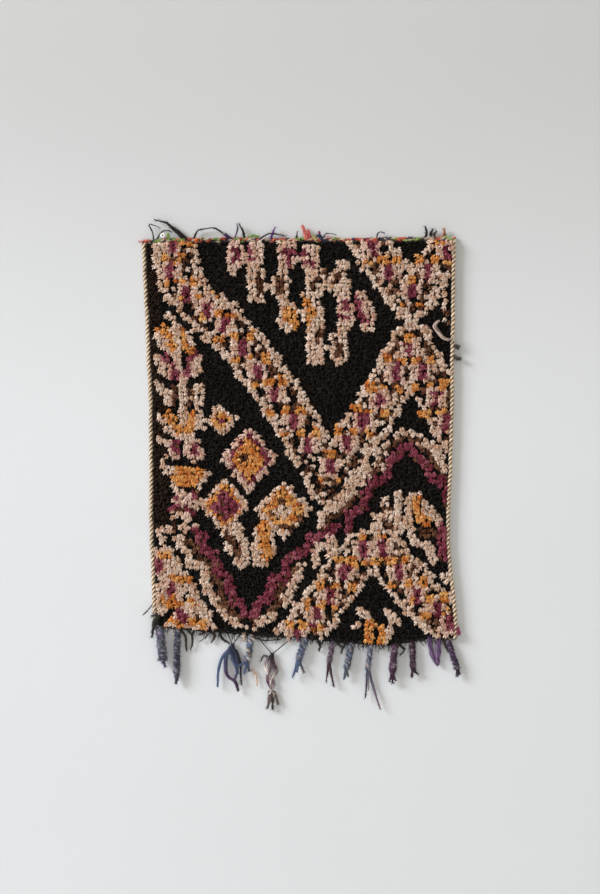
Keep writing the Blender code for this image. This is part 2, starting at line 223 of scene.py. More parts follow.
def smooth_path(points: Array, steps: int) -> Array:
    """Read points from a Catmull-Rom curve: on each stretch, a cubic in t whose slopes are half the span.

    Args:
        points: the curve's own points, one row each.
        steps: the number of even steps along the whole curve.

    Returns:
        steps + 1 points on the curve.
    """
    padded = np.vstack([2 * points[0] - points[1], points, 2 * points[-1] - points[-2]])
    place = np.linspace(0, len(points) - 1, steps + 1)
    start = np.minimum(place.astype(int), len(points) - 2)
    t = (place - start)[:, None]
    a, b, c, d = (padded[start + offset] for offset in range(4))
    return 0.5 * (2 * b + (c - a) * t + (2 * a - 5 * b + 4 * c - d) * t**2 + (3 * b - a - 3 * c + d) * t**3)


# The outline and the weaver's chart


@dataclass(frozen=True)
class Outline:
    """The rug's uneven outline.

    Both sides draw in towards the hem, the right one flares again, and the hem sags.
    """

    # Columns: height, left edge, right edge.
    sides: tuple[tuple[float, float, float], ...] = (
        (5, -299.5, 297.5),
        (-60, -297, 297),
        (-118, -294, 296.5),
        (-232, -289, 294.5),
        (-310, -285.5, 294),
        (-384, -285, 292.5),
        (-460, -284.5, 290),
        (-498, -284.5, 288),
        (-574, -284, 286.5),
        (-612, -281.5, 289),
        (-650, -280, 293.5),
        (-690, -279, 298.5),
        (-735, -277, 300.5),
        (-790, -275, 300),
    )
    # Columns: place along the width, top edge, hem.
    ends: tuple[tuple[float, float, float], ...] = (
        (-298, -5, -741),
        (-262, -2, -744),
        (-207, 0, -749),
        (-74, 0, -760),
        (2, 0, -764),
        (87, 0, -774),
        (173, 1, -778),
        (249, 1, -765),
        (298, 2, -769),
    )
    length: float = 770.0
    cord_width: float = 8.6
    cord_gap: float = 1.2
    heading_width: float = 6.4
    heading_gap: float = 0.7
    hem_room: float = 8.0

    def left(self, z: Array) -> Array:
        """The left edge at each height."""
        table = np.array(self.sides)
        return np.interp(-z, -table[:, 0], table[:, 1])

    def right(self, z: Array) -> Array:
        """The right edge at each height."""
        table = np.array(self.sides)
        return np.interp(-z, -table[:, 0], table[:, 2])

    def top(self, x: Array) -> Array:
        """The top edge at each place along the width."""
        table = np.array(self.ends)
        return np.interp(x, table[:, 0], table[:, 1])

    def hem(self, x: Array) -> Array:
        """The hem at each place along the width."""
        table = np.array(self.ends)
        return np.interp(x, table[:, 0], table[:, 2])

    def field(self, u: Array, v: Array) -> tuple[Array, Array]:
        """The place at a share u across and v down the knotted field, inside its cords and heading.

        Args:
            u: share of the way across, 0 to 1.
            v: share of the way down, 0 to 1.

        Returns:
            Arrays of x and z in millimetres.
        """
        height = -self.length * v
        left = self.left(height) + self.cord_width + self.cord_gap
        right = self.right(height) - self.cord_width - self.cord_gap
        x = left + (right - left) * u
        top = self.top(x) - self.heading_width - self.heading_gap
        hem = self.hem(x) + self.hem_room
        return x, top + (hem - top) * v


def line_distance(x: Array, z: Array, points: Points) -> Array:
    """The shortest distance from each place to a line of straight stretches.

    Args:
        x: places across.
        z: places in height.
        points: the line's corners. One corner alone stands for a dot.

    Returns:
        The distances in millimetres.
    """
    nearest = np.full(x.shape, np.inf)
    for (ax, az), (bx, bz) in zip(points, (*points[1:], points[-1])):
        dx, dz = bx - ax, bz - az
        share = np.clip(((x - ax) * dx + (z - az) * dz) / max(dx * dx + dz * dz, 1e-9), 0, 1)
        nearest = np.minimum(nearest, np.hypot(x - ax - share * dx, z - az - share * dz))
    return nearest


@dataclass
class KnotChart:
    """Every knot's place and wool, drawn as a weaver would from lines, blocks and lozenges."""

    outline: Outline
    columns: int = 78
    rows: int = 103
    knotted_width: float = 577.0
    knotted_height: float = 757.0
    waver: float = 1.1
    droop: float = 3.5
    rim: float = 22.0
    x: Array = field(init=False)
    z: Array = field(init=False)
    wool: NDArray = field(init=False)
    chance: Array = field(init=False)
    px: Array = field(init=False)
    pz: Array = field(init=False)

    def __post_init__(self) -> None:
        """Place the knots in rows, all black, and waver the place at which each is coloured."""
        draw = np.random.default_rng(21)
        across = (np.arange(self.columns) + 0.35) / (self.columns - 0.3)
        down = (np.arange(self.rows) + 0.12) / self.rows
        u, v = np.meshgrid(across, down)
        x, z = self.outline.field(u.ravel(), v.ravel())
        self.x = x
        self.z = z
        self.px = x + draw.uniform(-self.waver, self.waver, x.shape)
        self.pz = z + draw.uniform(-self.waver, self.waver, z.shape) - self.droop
        self.wool = np.full(x.shape, BLACK)
        self.chance = draw.uniform(0, 1, x.shape)

    def paint(self, where: Mask, wool: Wool) -> None:
        """Tie the knots there in a wool."""
        self.wool[where] = wool

    def line(self, points: Points, half_width: float, wool: Wool) -> None:
        """Tie a band of knots along a line."""
        self.paint(line_distance(self.px, self.pz, points) < half_width, wool)

    def block(self, x: float, z: float, half_width: float, half_height: float, wool: Wool) -> None:
        """Tie a rectangle of knots round a middle."""
        self.paint((np.abs(self.px - x) < half_width) & (np.abs(self.pz - z) < half_height), wool)

    def lozenge(self, x: float, z: float, half_width: float, half_height: float, wool: Wool) -> None:
        """Tie a lozenge of knots: |dx| / half width + |dz| / half height below one."""
        reach = np.abs(self.px - x) / half_width + np.abs(self.pz - z) / half_height
        self.paint(reach < 1, wool)

    def splay(self, reach: float) -> Array:
        """The way each knot of coloured wool leans, out from the middle of its motif.

        It is minus the sum of the offsets to the coloured knots within the reach, each divided by the
        reach, over the number of knots that such a circle holds. Black knots lean nowhere, and beside
        the cords the lean across is a quarter of that.

        Args:
            reach: the radius in which neighbours count.

        Returns:
            One row of across and up for each knot.
        """
        lean = np.zeros((len(self.x), 2))
        coarse = np.flatnonzero(self.wool != BLACK)
        dx = self.x[coarse][None] - self.x[coarse][:, None]
        dz = self.z[coarse][None] - self.z[coarse][:, None]
        near = np.hypot(dx, dz) < reach
        full = math.pi * reach * reach / (self.pitch[0] * self.pitch[1])
        lean[coarse, 0] = -(dx * near).sum(axis=1) / reach / full
        lean[coarse, 1] = -(dz * near).sum(axis=1) / reach / full
        left, right = self.outline.left(self.z) + self.rim, self.outline.right(self.z) - self.rim
        lean[:, 0] = np.where((self.x < left) | (self.x > right), 0.25 * lean[:, 0], lean[:, 0])
        return lean

    @property
    def pitch(self) -> tuple[float, float]:
        """The distance between neighbouring knots, across and down."""
        return self.knotted_width / self.columns, self.knotted_height / self.rows

    def nearness(self, wool: Wool, reach: float) -> Array:
        """How near each knot is to one of a wool: 1 beside it, falling to 0 at the reach."""
        there = self.wool == wool
        gap = np.hypot(self.x[:, None] - self.x[there][None], self.z[:, None] - self.z[there][None])
        return np.clip(1 - gap.min(axis=1) / reach, 0, 1)


Boxes = tuple[tuple[float, float, float, float], ...]


@dataclass(frozen=True)
class CellBand:
    """A zigzag band of upright cells between two stepped cream outlines.

    A cell is a magenta bar with cream beside it. Orange knots join it to its neighbours, and one more
    orange knot lies on each outline. lean is 1 where the band runs down to the right, -1 where it runs
    down to the left, and 0 at its turns.
    """

    path: Points
    cells: Sequence[tuple[float, float, int]]
    outline_distance: float = 35.5
    outline_half_width: float = 4.9
    bar: tuple[float, float] = (7.2, 15.0)
    flank: tuple[float, float] = (18.4, 17.0)
    brown_share: float = 0.38
    cream_share: float = 0.20
    inner_room: float = 6.0
    outer_room: float = 7.0
    # Columns: across in the band's lean, up, half width, half height of each orange knot of a cell.
    leaning: Boxes = ((-13, 23, 8.5, 5.5), (14, 24, 7.5, 9.0), (-41, 18, 7.5, 6.0))
    turning: Boxes = ((0, 23, 8.5, 5.5), (-17, -26, 5.5, 5), (17, -26, 5.5, 5))

    def tie(self, chart: KnotChart) -> None:
        """Tie the band's outlines, then its cells from the top down."""
        distance = line_distance(chart.px, chart.pz, self.path)
        step = 2.5 * np.sin(chart.pz / 7.5) * np.sign(np.sin(chart.px / 15.0))
        chart.paint(np.abs(distance + step - self.outline_distance) < self.outline_half_width, CREAM)
        inside = distance < self.outline_distance - self.inner_room
        chart.paint(inside & (chart.chance > 1 - self.brown_share), BROWN)
        chart.paint(inside & (chart.chance < self.cream_share), CREAM)
        for x, z, _ in self.cells:
            chart.block(x, z, *self.flank, CREAM)
        for x, z, lean in self.cells:
            for across, up, half_width, half_height in self.leaning if lean else self.turning:
                spot = np.array([x + across * (lean or 1)]), np.array([z + up])
                if line_distance(*spot, self.path)[0] < self.outline_distance + self.outer_room:
                    chart.block(*spot, half_width, half_height, ORANGE)
        for x, z, _ in self.cells:
            chart.block(x, z, *self.bar, MAGENTA)


Strokes = tuple[tuple[Wool, float, Points], ...]


@dataclass(frozen=True)
class DrawnMotif:
    """A motif that is drawn in strokes, the later ones over the earlier."""

    # Columns: wool, half width, line. A line of one point is a round dot.
    strokes: Strokes = ()

    def tie(self, chart: KnotChart) -> None:
        """Tie every stroke."""
        for wool, half_width, points in self.strokes:
            chart.line(points, half_width, wool)


@dataclass(frozen=True)
class NarrowTop(DrawnMotif):
    """The top left of the upper band, where black ground lies over its sides and its outlines draw in."""

    strokes: Strokes = (
        (BLACK, 6.5, ((-280, -4), (-280, -48), (-273, -78), (-265, -108), (-255, -130))),
        (BLACK, 6.5, ((-186, -8), (-184, -40), (-177, -66), (-162, -92), (-140, -112), (-116, -126))),
        (CREAM, 5.2, ((-268, -14), (-268, -52), (-261, -78), (-254, -106), (-243, -128))),
        (CREAM, 5.2, ((-198, -12), (-198, -42), (-190, -78), (-176, -104), (-156, -124), (-115, -143))),
        (ORANGE, 6.0, ((-250, -92),)),
        (ORANGE, 6.0, ((-204, -74), (-203, -88))),
        (ORANGE, 5.5, ((-224, -8), (-198, -10))),
    )  # fmt: skip


@dataclass(frozen=True)
class Comb(DrawnMotif):
    """The comb motif: pairs of cream limbs joined in the middle, each pair with its own heart colour."""

    strokes: Strokes = (
        (CREAM, 15.5, ((-121, -26), (-121, -44))),
        (CREAM, 8, ((-126, -58), (-126, -67))),
        (CREAM, 15.5, ((-84, -22), (-85, -44))),
        (CREAM, 6, ((-104, -38), (-98, -36))),
        (CREAM, 14.5, ((-82, -66), (-78, -84), (-80, -112))),
        (CREAM, 6, ((-62, -95), (-52, -93))),
        (CREAM, 17, ((-35, -87), (-35, -97))),
        (CREAM, 9, ((-29, -52), (-30, -72))),
        (CREAM, 9, ((-30, -108), (-28, -122))),
        (CREAM, 15.5, ((-22, -18), (-22, -46))),
        (CREAM, 5, ((-6, -40), (2, -40))),
        (CREAM, 16.5, ((20, -28), (20, -46))),
        (CREAM, 12, ((28, -60), (29, -86), (30, -108))),
        (CREAM, 9, ((44, -66), (56, -92))),
        (CREAM, 8, ((46, -93), (66, -92))),
        (CREAM, 9.5, ((84, -52), (80, -66))),
        (CREAM, 12.5, ((70, -72), (84, -92), (82, -110))),
        (CREAM, 17, ((-20, -140), (-22, -160))),
        (CREAM, 7, ((-24, -168), (-23, -178))),
        (CREAM, 5, ((-2, -142), (8, -144))),
        (CREAM, 10, ((24, -110), (20, -124))),
        (CREAM, 17, ((24, -138), (26, -152))),
        (CREAM, 14, ((33, -168), (33, -230))),
        (CREAM, 6, ((48, -210), (60, -210))),
        (CREAM, 16, ((77, -196), (76, -224))),
        (CREAM, 15.5, ((88, -132), (88, -162))),
        (CREAM, 9, ((84, -168), (82, -182))),
        (CREAM, 7, ((100, -135), (110, -136))),
        (CREAM, 12.5, ((116, -113), (125, -140), (130, -164))),
        (MAGENTA, 5.5, ((-122, -22), (-116, -33), (-121, -44))),
        (MAGENTA, 5.0, ((-97, -20), (-88, -42))),
        (BROWN, 5.5, ((-80, -74), (-72, -90), (-74, -108))),
        (BROWN, 6.0, ((-36, -76), (-38, -92), (-35, -106))),
        (MAGENTA, 7.0, ((-24, -28), (-12, -31))),
        (MAGENTA, 5.0, ((-20, -40), (-17, -54))),
        (MAGENTA, 6.0, ((8, -30), (16, -34))),
        (MAGENTA, 6.0, ((14, -48), (26, -52))),
        (BROWN, 5.5, ((48, -67), (34, -84))),
        (BROWN, 4.8, ((24, -95), (34, -99))),
        (BROWN, 7.0, ((76, -74), (68, -86))),
        (ORANGE, 8.0, ((-20, -136), (-14, -144), (-20, -156), (-8, -164))),
        (ORANGE, 7.0, ((16, -124), (22, -142), (20, -160))),
        (BROWN, 6.0, ((37, -182), (36, -198))),
        (BROWN, 6.0, ((76, -200), (76, -220))),
        (MAGENTA, 6.0, ((88, -122), (88, -136))),
        (MAGENTA, 6.0, ((80, -150), (90, -152))),
        (MAGENTA, 5.0, ((112, -118), (112, -126))),
        (MAGENTA, 7.5, ((114, -140), (118, -150))),
        (MAGENTA, 5.0, ((124, -156), (128, -160))),
    )  # fmt: skip


@dataclass(frozen=True)
class LeafColumn(DrawnMotif):
    """The upright stem of paired leaves near the left side."""

    strokes: Strokes = (
        (CREAM, 5.5, ((-248, -148), (-236, -155), (-232, -172))),
        (CREAM, 8, ((-270, -186), (-256, -198))),
        (CREAM, 7, ((-262, -200), (-240, -222))),
        (CREAM, 9, ((-236, -180), (-230, -215))),
        (CREAM, 7, ((-212, -186), (-208, -200))),
        (ORANGE, 8, ((-258, -176), (-246, -186))),
        (ORANGE, 7, ((-243, -202), (-234, -214))),
        (ORANGE, 6, ((-220, -180), (-220, -212))),
        (ORANGE, 5.5, ((-214, -206), (-208, -214))),
        (CREAM, 7.5, ((-236, -220), (-226, -250), (-222, -290))),
        (CREAM, 9, ((-266, -230), (-244, -262))),
        (CREAM, 8, ((-196, -226), (-196, -258))),
        (MAGENTA, 5.5, ((-250, -228), (-240, -245), (-235, -264))),
        (MAGENTA, 6, ((-200, -222), (-210, -236), (-213, -262))),
        (CREAM, 8, ((-266, -282), (-254, -292), (-244, -314))),
        (CREAM, 8, ((-194, -286), (-192, -318))),
        (CREAM, 7, ((-222, -288), (-220, -342))),
        (BROWN, 6, ((-236, -286), (-236, -316))),
        (BROWN, 6, ((-206, -288), (-208, -300), (-210, -320))),
        (CREAM, 5, ((-268, -340), (-256, -352))),
        (CREAM, 8, ((-254, -352), (-242, -366))),
        (CREAM, 8, ((-187, -338), (-187, -360))),
        (CREAM, 7, ((-218, -332), (-218, -352))),
        (CREAM, 7, ((-230, -376), (-206, -378))),
        (ORANGE, 6.5, ((-246, -336), (-238, -352), (-230, -368))),
        (ORANGE, 7, ((-202, -336), (-204, -350))),
        (ORANGE, 6, ((-230, -362), (-200, -364))),
        (CREAM, 6, ((-264, -386), (-242, -394))),
        (CREAM, 8, ((-238, -406), (-232, -414))),
        (CREAM, 15, ((-206, -396), (-198, -410))),
        (MAGENTA, 8, ((-232, -392), (-230, -402))),
        (MAGENTA, 5, ((-198, -394), (-198, -408))),
        (CREAM, 4.8, ((-252, -416), (-258, -425), (-257, -437), (-246, -447), (-238, -440))),
        (ORANGE, 18, ((-220, -453), (-202, -454))),
        (CREAM, 5, ((-236, -468), (-232, -474))),
        (CREAM, 5, ((-186, -472), (-176, -444))),
        (CREAM, 7, ((-230, -486), (-188, -502))),
        (MAGENTA, 6, ((-234, -492), (-234, -500))),
        (MAGENTA, 7.5, ((-198, -489), (-198, -498))),
        (CREAM, 6, ((-234, -505), (-196, -506))),
        (CREAM, 8, ((-234, -528), (-210, -532))),
        (MAGENTA, 5, ((-240, -513), (-210, -515), (-200, -522))),
        (BROWN, 5, ((-236, -542), (-236, -553))),
        (CREAM, 7, ((-216, -546), (-214, -556))),
        (CREAM, 5, ((-196, -547), (-195, -553))),
        (CREAM, 6.5, ((-256, -555), (-244, -558))),
        (CREAM, 4.5, ((-276, -558), (-266, -559))),
        (CREAM, 6, ((-262, -568), (-258, -577))),
    )  # fmt: skip


@dataclass(frozen=True)
class Lozenges(DrawnMotif):
    """Nested lozenges and the two lobes under them."""

    # Columns: middle across, middle height, half width, half height, then share and wool of each ring.
    nests: tuple[tuple[float, float, float, float, tuple[tuple[float, Wool], ...]], ...] = (
        (-148, -347, 29, 30, ((1.0, CREAM), (0.66, ORANGE), (0.24, MAGENTA))),
        (-95, -421, 50, 63, ((1.0, CREAM), (0.80, MAGENTA), (0.66, ORANGE))),
        (-140, -510, 46, 54, ((1.0, CREAM), (0.80, ORANGE), (0.60, MAGENTA))),
        (-30, -517, 53, 57, ((1.0, CREAM), (0.78, ORANGE), (0.34, CREAM))),
    )
    strokes: Strokes = (
        (CREAM, 6, ((-30, -530),)),
        (BROWN, 6, ((-104, -416), (-106, -424))),
        (MAGENTA, 5, ((-68, -408), (-62, -424))),
        (BROWN, 5, ((-146, -503), (-144, -507))),
        (BROWN, 5.5, ((-152, -524), (-148, -527))),
        (BROWN, 5, ((-36, -498), (-34, -502))),
        (BROWN, 5, ((-52, -520), (-48, -524))),
        (BROWN, 5.5, ((-1, -526), (2, -534))),
        (BROWN, 5.5, ((-40, -549), (-12, -551))),
        (CREAM, 21, ((-125, -562), (-119, -582))),
        (CREAM, 13, ((-113, -592), (-108, -613))),
        (BROWN, 6.5, ((-136, -562), (-121, -580), (-113, -603))),
        (CREAM, 20, ((-66, -566), (-68, -588))),
        (CREAM, 12, ((-76, -596), (-74, -614))),
        (ORANGE, 9.5, ((-64, -548), (-62, -603))),
    )  # fmt: skip

    def tie(self, chart: KnotChart) -> None:
        """Tie each nest from its outer lozenge in, then the lobes and the darker hearts."""
        for x, z, half_width, half_height, rings in self.nests:
            for share, wool in rings:
                chart.lozenge(x, z, half_width * share, half_height * share, wool)
        super().tie(chart)


@dataclass(frozen=True)
class SteppedZigzag(DrawnMotif):
    """The stepped zigzag of three lines side by side: magenta, brown and cream."""

    brown_share: float = 0.12
    strokes: Strokes = (
        (CREAM, 8.5, ((-227, -571), (-211, -601), (-203, -622), (-182, -622), (-178, -645), (-172, -670),
                           (-152, -698), (-132, -718), (-116, -732))),
        (CREAM, 6.5, ((-98, -740),)),
        (CREAM, 8.5, ((-80, -733), (-62, -724), (-50, -714))),
        (CREAM, 8.5, ((-36, -700), (-26, -684), (-12, -660), (-4, -642), (2, -626))),
        (CREAM, 8.5, ((44, -526), (70, -509), (92, -490), (106, -472), (127, -450), (149, -437), (158, -404),
                           (176, -391), (193, -373), (211, -373), (237, -391), (258, -400), (268, -430),
                           (280, -446))),
        (BROWN, 6.0, ((-216, -575), (-194, -588), (-190, -608), (-168, -622), (-160, -648), (-146, -660),
                           (-146, -690), (-132, -704), (-116, -722))),
        (BROWN, 5.5, ((-88, -722), (-84, -732))),
        (BROWN, 6.0, ((-58, -706), (-42, -700), (-40, -664), (-22, -654), (-18, -638), (-6, -628))),
        (BROWN, 4.8, ((58, -536), (84, -520), (104, -495), (118, -484))),
        (BROWN, 4.8, ((130, -452), (150, -436), (162, -404), (185, -388), (200, -380), (226, -386),
                           (243, -408), (262, -438), (276, -452))),
        (MAGENTA, 8.0, ((-198, -556), (-186, -564), (-182, -592), (-160, -602), (-153, -634), (-136, -646),
                             (-128, -676), (-128, -694), (-110, -694), (-101, -714), (-86, -712), (-78, -694),
                             (-58, -688), (-54, -662), (-42, -646), (-26, -650), (-24, -616), (-10, -602),
                             (4, -600), (20, -584), (22, -570), (42, -566), (68, -550))),
        (MAGENTA, 8.0, ((94, -552), (98, -522), (122, -512), (128, -486), (140, -468), (164, -456),
                             (168, -426), (190, -414), (196, -398), (214, -398), (224, -420), (246, -438),
                             (252, -461), (277, -463))),
        (MAGENTA, 7.0, ((277, -486), (279, -506))),
        (CREAM, 7.5, ((50, -524), (45, -545))),
        (BROWN, 4.8, ((60, -528), (54, -550))),
        (CREAM, 9.5, ((60, -572), (60, -594))),
        (CREAM, 7.5, ((42, -584), (30, -600), (30, -620))),
    )  # fmt: skip

    def tie(self, chart: KnotChart) -> None:
        """Tie the lines, with a brown knot here and there in the magenta one."""
        super().tie(chart)
        chart.paint((chart.wool == MAGENTA) & (chart.chance < self.brown_share), BROWN)


@dataclass(frozen=True)
class HemBand(DrawnMotif):
    """The filled band at the lower left: cream from the side cord to a slanting edge, with small hearts."""

    top: float = -586.0
    edge: Points = (
        (-242, -588), (-228, -615), (-214, -638), (-203, -660),
        (-190, -680), (-172, -708), (-160, -735), (-154, -765),
    )  # fmt: skip
    strokes: Strokes = (
        (MAGENTA, 8, ((-265, -614), (-266, -630))),
        (MAGENTA, 7, ((-243, -657), (-244, -674))),
        (MAGENTA, 9, ((-225, -712), (-218, -726))),
        (ORANGE, 5.5, ((-260, -602), (-246, -605))),
        (ORANGE, 6, ((-240, -645), (-214, -648))),
        (ORANGE, 5.5, ((-259, -684), (-252, -697), (-226, -695))),
        (ORANGE, 5.5, ((-240, -684),)),
        (ORANGE, 5.5, ((-206, -686), (-198, -696))),
        (ORANGE, 5.5, ((-243, -725), (-232, -727))),
        (ORANGE, 6, ((-206, -727), (-198, -733))),
        (ORANGE, 5.5, ((-224, -738),)),
        (ORANGE, 5.5, ((-183, -728), (-180, -742))),
        (BLACK, 5, ((-271, -646), (-270, -656))),
        (BLACK, 5, ((-215, -673), (-214, -689))),
        (BLACK, 4.5, ((-254, -636),)),
        (BLACK, 5, ((-246, -714), (-238, -704))),
        (BLACK, 10, ((-278, -724), (-258, -725))),
        (BLACK, 9, ((-278, -738), (-256, -742))),
        (BROWN, 5, ((-190, -716), (-192, -722))),
    )  # fmt: skip

    def tie(self, chart: KnotChart) -> None:
        """Fill the band, then tie its hearts and its dark gaps."""
        table = np.array(self.edge, dtype=float)
        reach = np.interp(-chart.pz, -table[:, 1], table[:, 0])
        chart.paint((chart.px < reach) & (chart.pz < self.top), CREAM)
        super().tie(chart)


@dataclass(frozen=True)
class LowerRight(DrawnMotif):
    """The small motifs inside the dark fields at the lower right, and the few knots along the right side."""

    strokes: Strokes = (
        (CREAM, 5.5, ((277, -108), (278, -132))),
        (BROWN, 5.5, ((280, -144), (289, -144))),
        (CREAM, 4.5, ((278, -153),)),
        (BROWN, 4.5, ((284, -162),)),
        (CREAM, 8.5, ((188, -490), (187, -510))),
        (CREAM, 6.5, ((163, -502), (168, -506))),
        (CREAM, 9.5, ((186, -524), (190, -552))),
        (CREAM, 8, ((168, -526), (176, -530))),
        (CREAM, 8.5, ((150, -534), (146, -556))),
        (CREAM, 5, ((142, -528), (146, -536))),
        (BROWN, 5.5, ((162, -513), (174, -514))),
        (BROWN, 6.5, ((166, -538), (174, -552))),
        (CREAM, 7, ((211, -492), (210, -530), (212, -572), (226, -582))),
        (CREAM, 7, ((222, -490), (236, -512), (254, -526), (264, -542))),
        (ORANGE, 7, ((222, -500), (226, -520))),
        (ORANGE, 10, ((230, -532), (242, -538))),
        (BROWN, 8.5, ((234, -560), (256, -562))),
        (MAGENTA, 8, ((270, -550), (272, -578), (275, -604))),
        (CREAM, 7, ((240, -582), (254, -588), (252, -612))),
        (BROWN, 5, ((267, -610),)),
        (CREAM, 6, ((276, -640), (284, -655))),
        (CREAM, 8, ((118, -706), (130, -721))),
        (CREAM, 6.5, ((110, -738),)),
        (CREAM, 8, ((166, -710), (182, -728))),
        (CREAM, 7.5, ((172, -742), (166, -762))),
        (ORANGE, 8.5, ((136, -734), (136, -762))),
        (ORANGE, 6.5, ((158, -738), (156, -762))),
    )  # fmt: skip


@dataclass(frozen=True)
class Pattern:
    """The whole pattern of the field, tied from the largest motifs to the smallest."""

    upper_band: CellBand = CellBand(
        path=((-232, 4), (-228, -78), (-200, -120), (-165, -148), (-103, -209), (-6, -348), (56, -467),
              (133, -351), (214, -204), (298, -369)),
        cells=((-239, -17, 1), (-241, -63, 1), (-211, -106, 1), (-177, -135, 1), (-141, -167, 1),
               (-108, -211, 1), (-78, -251, 1), (-44, -298, 1), (-11, -350, 1), (19, -393, 1), (59, -435, 0),
               (91, -390, -1), (122, -350, -1), (152, -308, -1), (182, -255, -1), (209, -213, 0),
               (234, -256, 1), (260, -304, 1), (279, -353, 1)),
    )  # fmt: skip
    corner_band: CellBand = CellBand(
        path=((124, 4), (173, -70), (213, -120), (249, -70), (302, 4)),
        cells=((138, -18, 1), (172, -66, 1), (213, -102, 0), (244, -66, -1), (278, -27, -1)),
        outline_distance=31.0,
        outline_half_width=6.8,
    )  # fmt: skip
    lower_band: CellBand = CellBand(
        path=((-21, -783), (57, -682), (89, -631), (122, -595), (158, -595), (190, -633), (224, -676),
              (260, -709), (306, -749)),
        cells=((-4, -758, -1), (30, -720, -1), (57, -682, -1), (87, -635, -1), (122, -593, 0),
               (158, -589, 0), (190, -635, 1), (222, -678, 1), (260, -707, 1), (285, -733, 1)),
    )  # fmt: skip

    def tie(self, chart: KnotChart) -> None:
        """Tie every motif onto the black ground."""
        LeafColumn().tie(chart)
        SteppedZigzag().tie(chart)
        self.upper_band.tie(chart)
        self.corner_band.tie(chart)
        self.lower_band.tie(chart)
        HemBand().tie(chart)
        NarrowTop().tie(chart)
        Comb().tie(chart)
        Lozenges().tie(chart)
        LowerRight().tie(chart)


# Finishes


# How one colour is laid over another, and how it darkens another.
OVER = {"data_type": "RGBA"}
TIMES = {"data_type": "RGBA", "blend_type": "MULTIPLY"}


def new_material(name: str) -> tuple[bpy.types.Material, bpy.types.NodeTree, bpy.types.Node]:
    """Start a material, and give its node tree and its shader with it."""
    made = bpy.data.materials.new(name)
    made.use_nodes = True
    return made, made.node_tree, made.node_tree.nodes["Principled BSDF"]


def add_node(
    tree: bpy.types.NodeTree, kind: str, settings: dict[str, Any], inputs: dict[Any, Any]
) -> bpy.types.Node:
    """Add a node, set its properties, and fill or link its inputs.

    Args:
        tree: the material's node tree.
        kind: the node's type name.
        settings: property values by name.
        inputs: by input name or number, an output to link from, or a value.

    Returns:
        The node.
    """
    node = tree.nodes.new(kind)
    for name, value in settings.items():
        setattr(node, name, value)
    for key, value in inputs.items():
        if isinstance(value, bpy.types.NodeSocket):
            tree.links.new(value, node.inputs[key])
        else:
            node.inputs[key].default_value = value
    return node


def mottle(
    tree: bpy.types.NodeTree, colour: Any, grain_mm: float, span: Sequence[float], **noise: float
) -> tuple[bpy.types.NodeSocket, bpy.types.NodeSocket]:
    """Darken and brighten a colour in grains of a real size, in the object's own space.

    The colour is multiplied by a tone, which follows the noise of the grains along a straight line.

    Args:
        tree: the material's node tree.
        colour: an output or a value.
        grain_mm: the size of a grain in millimetres.
        span: the noise's low and high end, and the tone that each gives.
        noise: the noise's other inputs by name.

    Returns:
        The outputs of the mottled colour and of the noise.
    """
    place = add_node(tree, "ShaderNodeTexCoord", {}, {})
    inputs = {"Vector": place.outputs["Object"], "Scale": 1 / (grain_mm * MM), **noise}
    grains = add_node(tree, "ShaderNodeTexNoise", {}, inputs).outputs[0]
    tone = add_node(tree, "ShaderNodeMapRange", {}, dict(enumerate((grains, *span)))).outputs[0]
    grey = add_node(tree, "ShaderNodeCombineColor", {}, {channel: tone for channel in range(3)})
    mottled = add_node(tree, "ShaderNodeMix", TIMES, {0: 1.0, 6: colour, 7: grey.outputs[0]})
    return mottled.outputs[2], grains


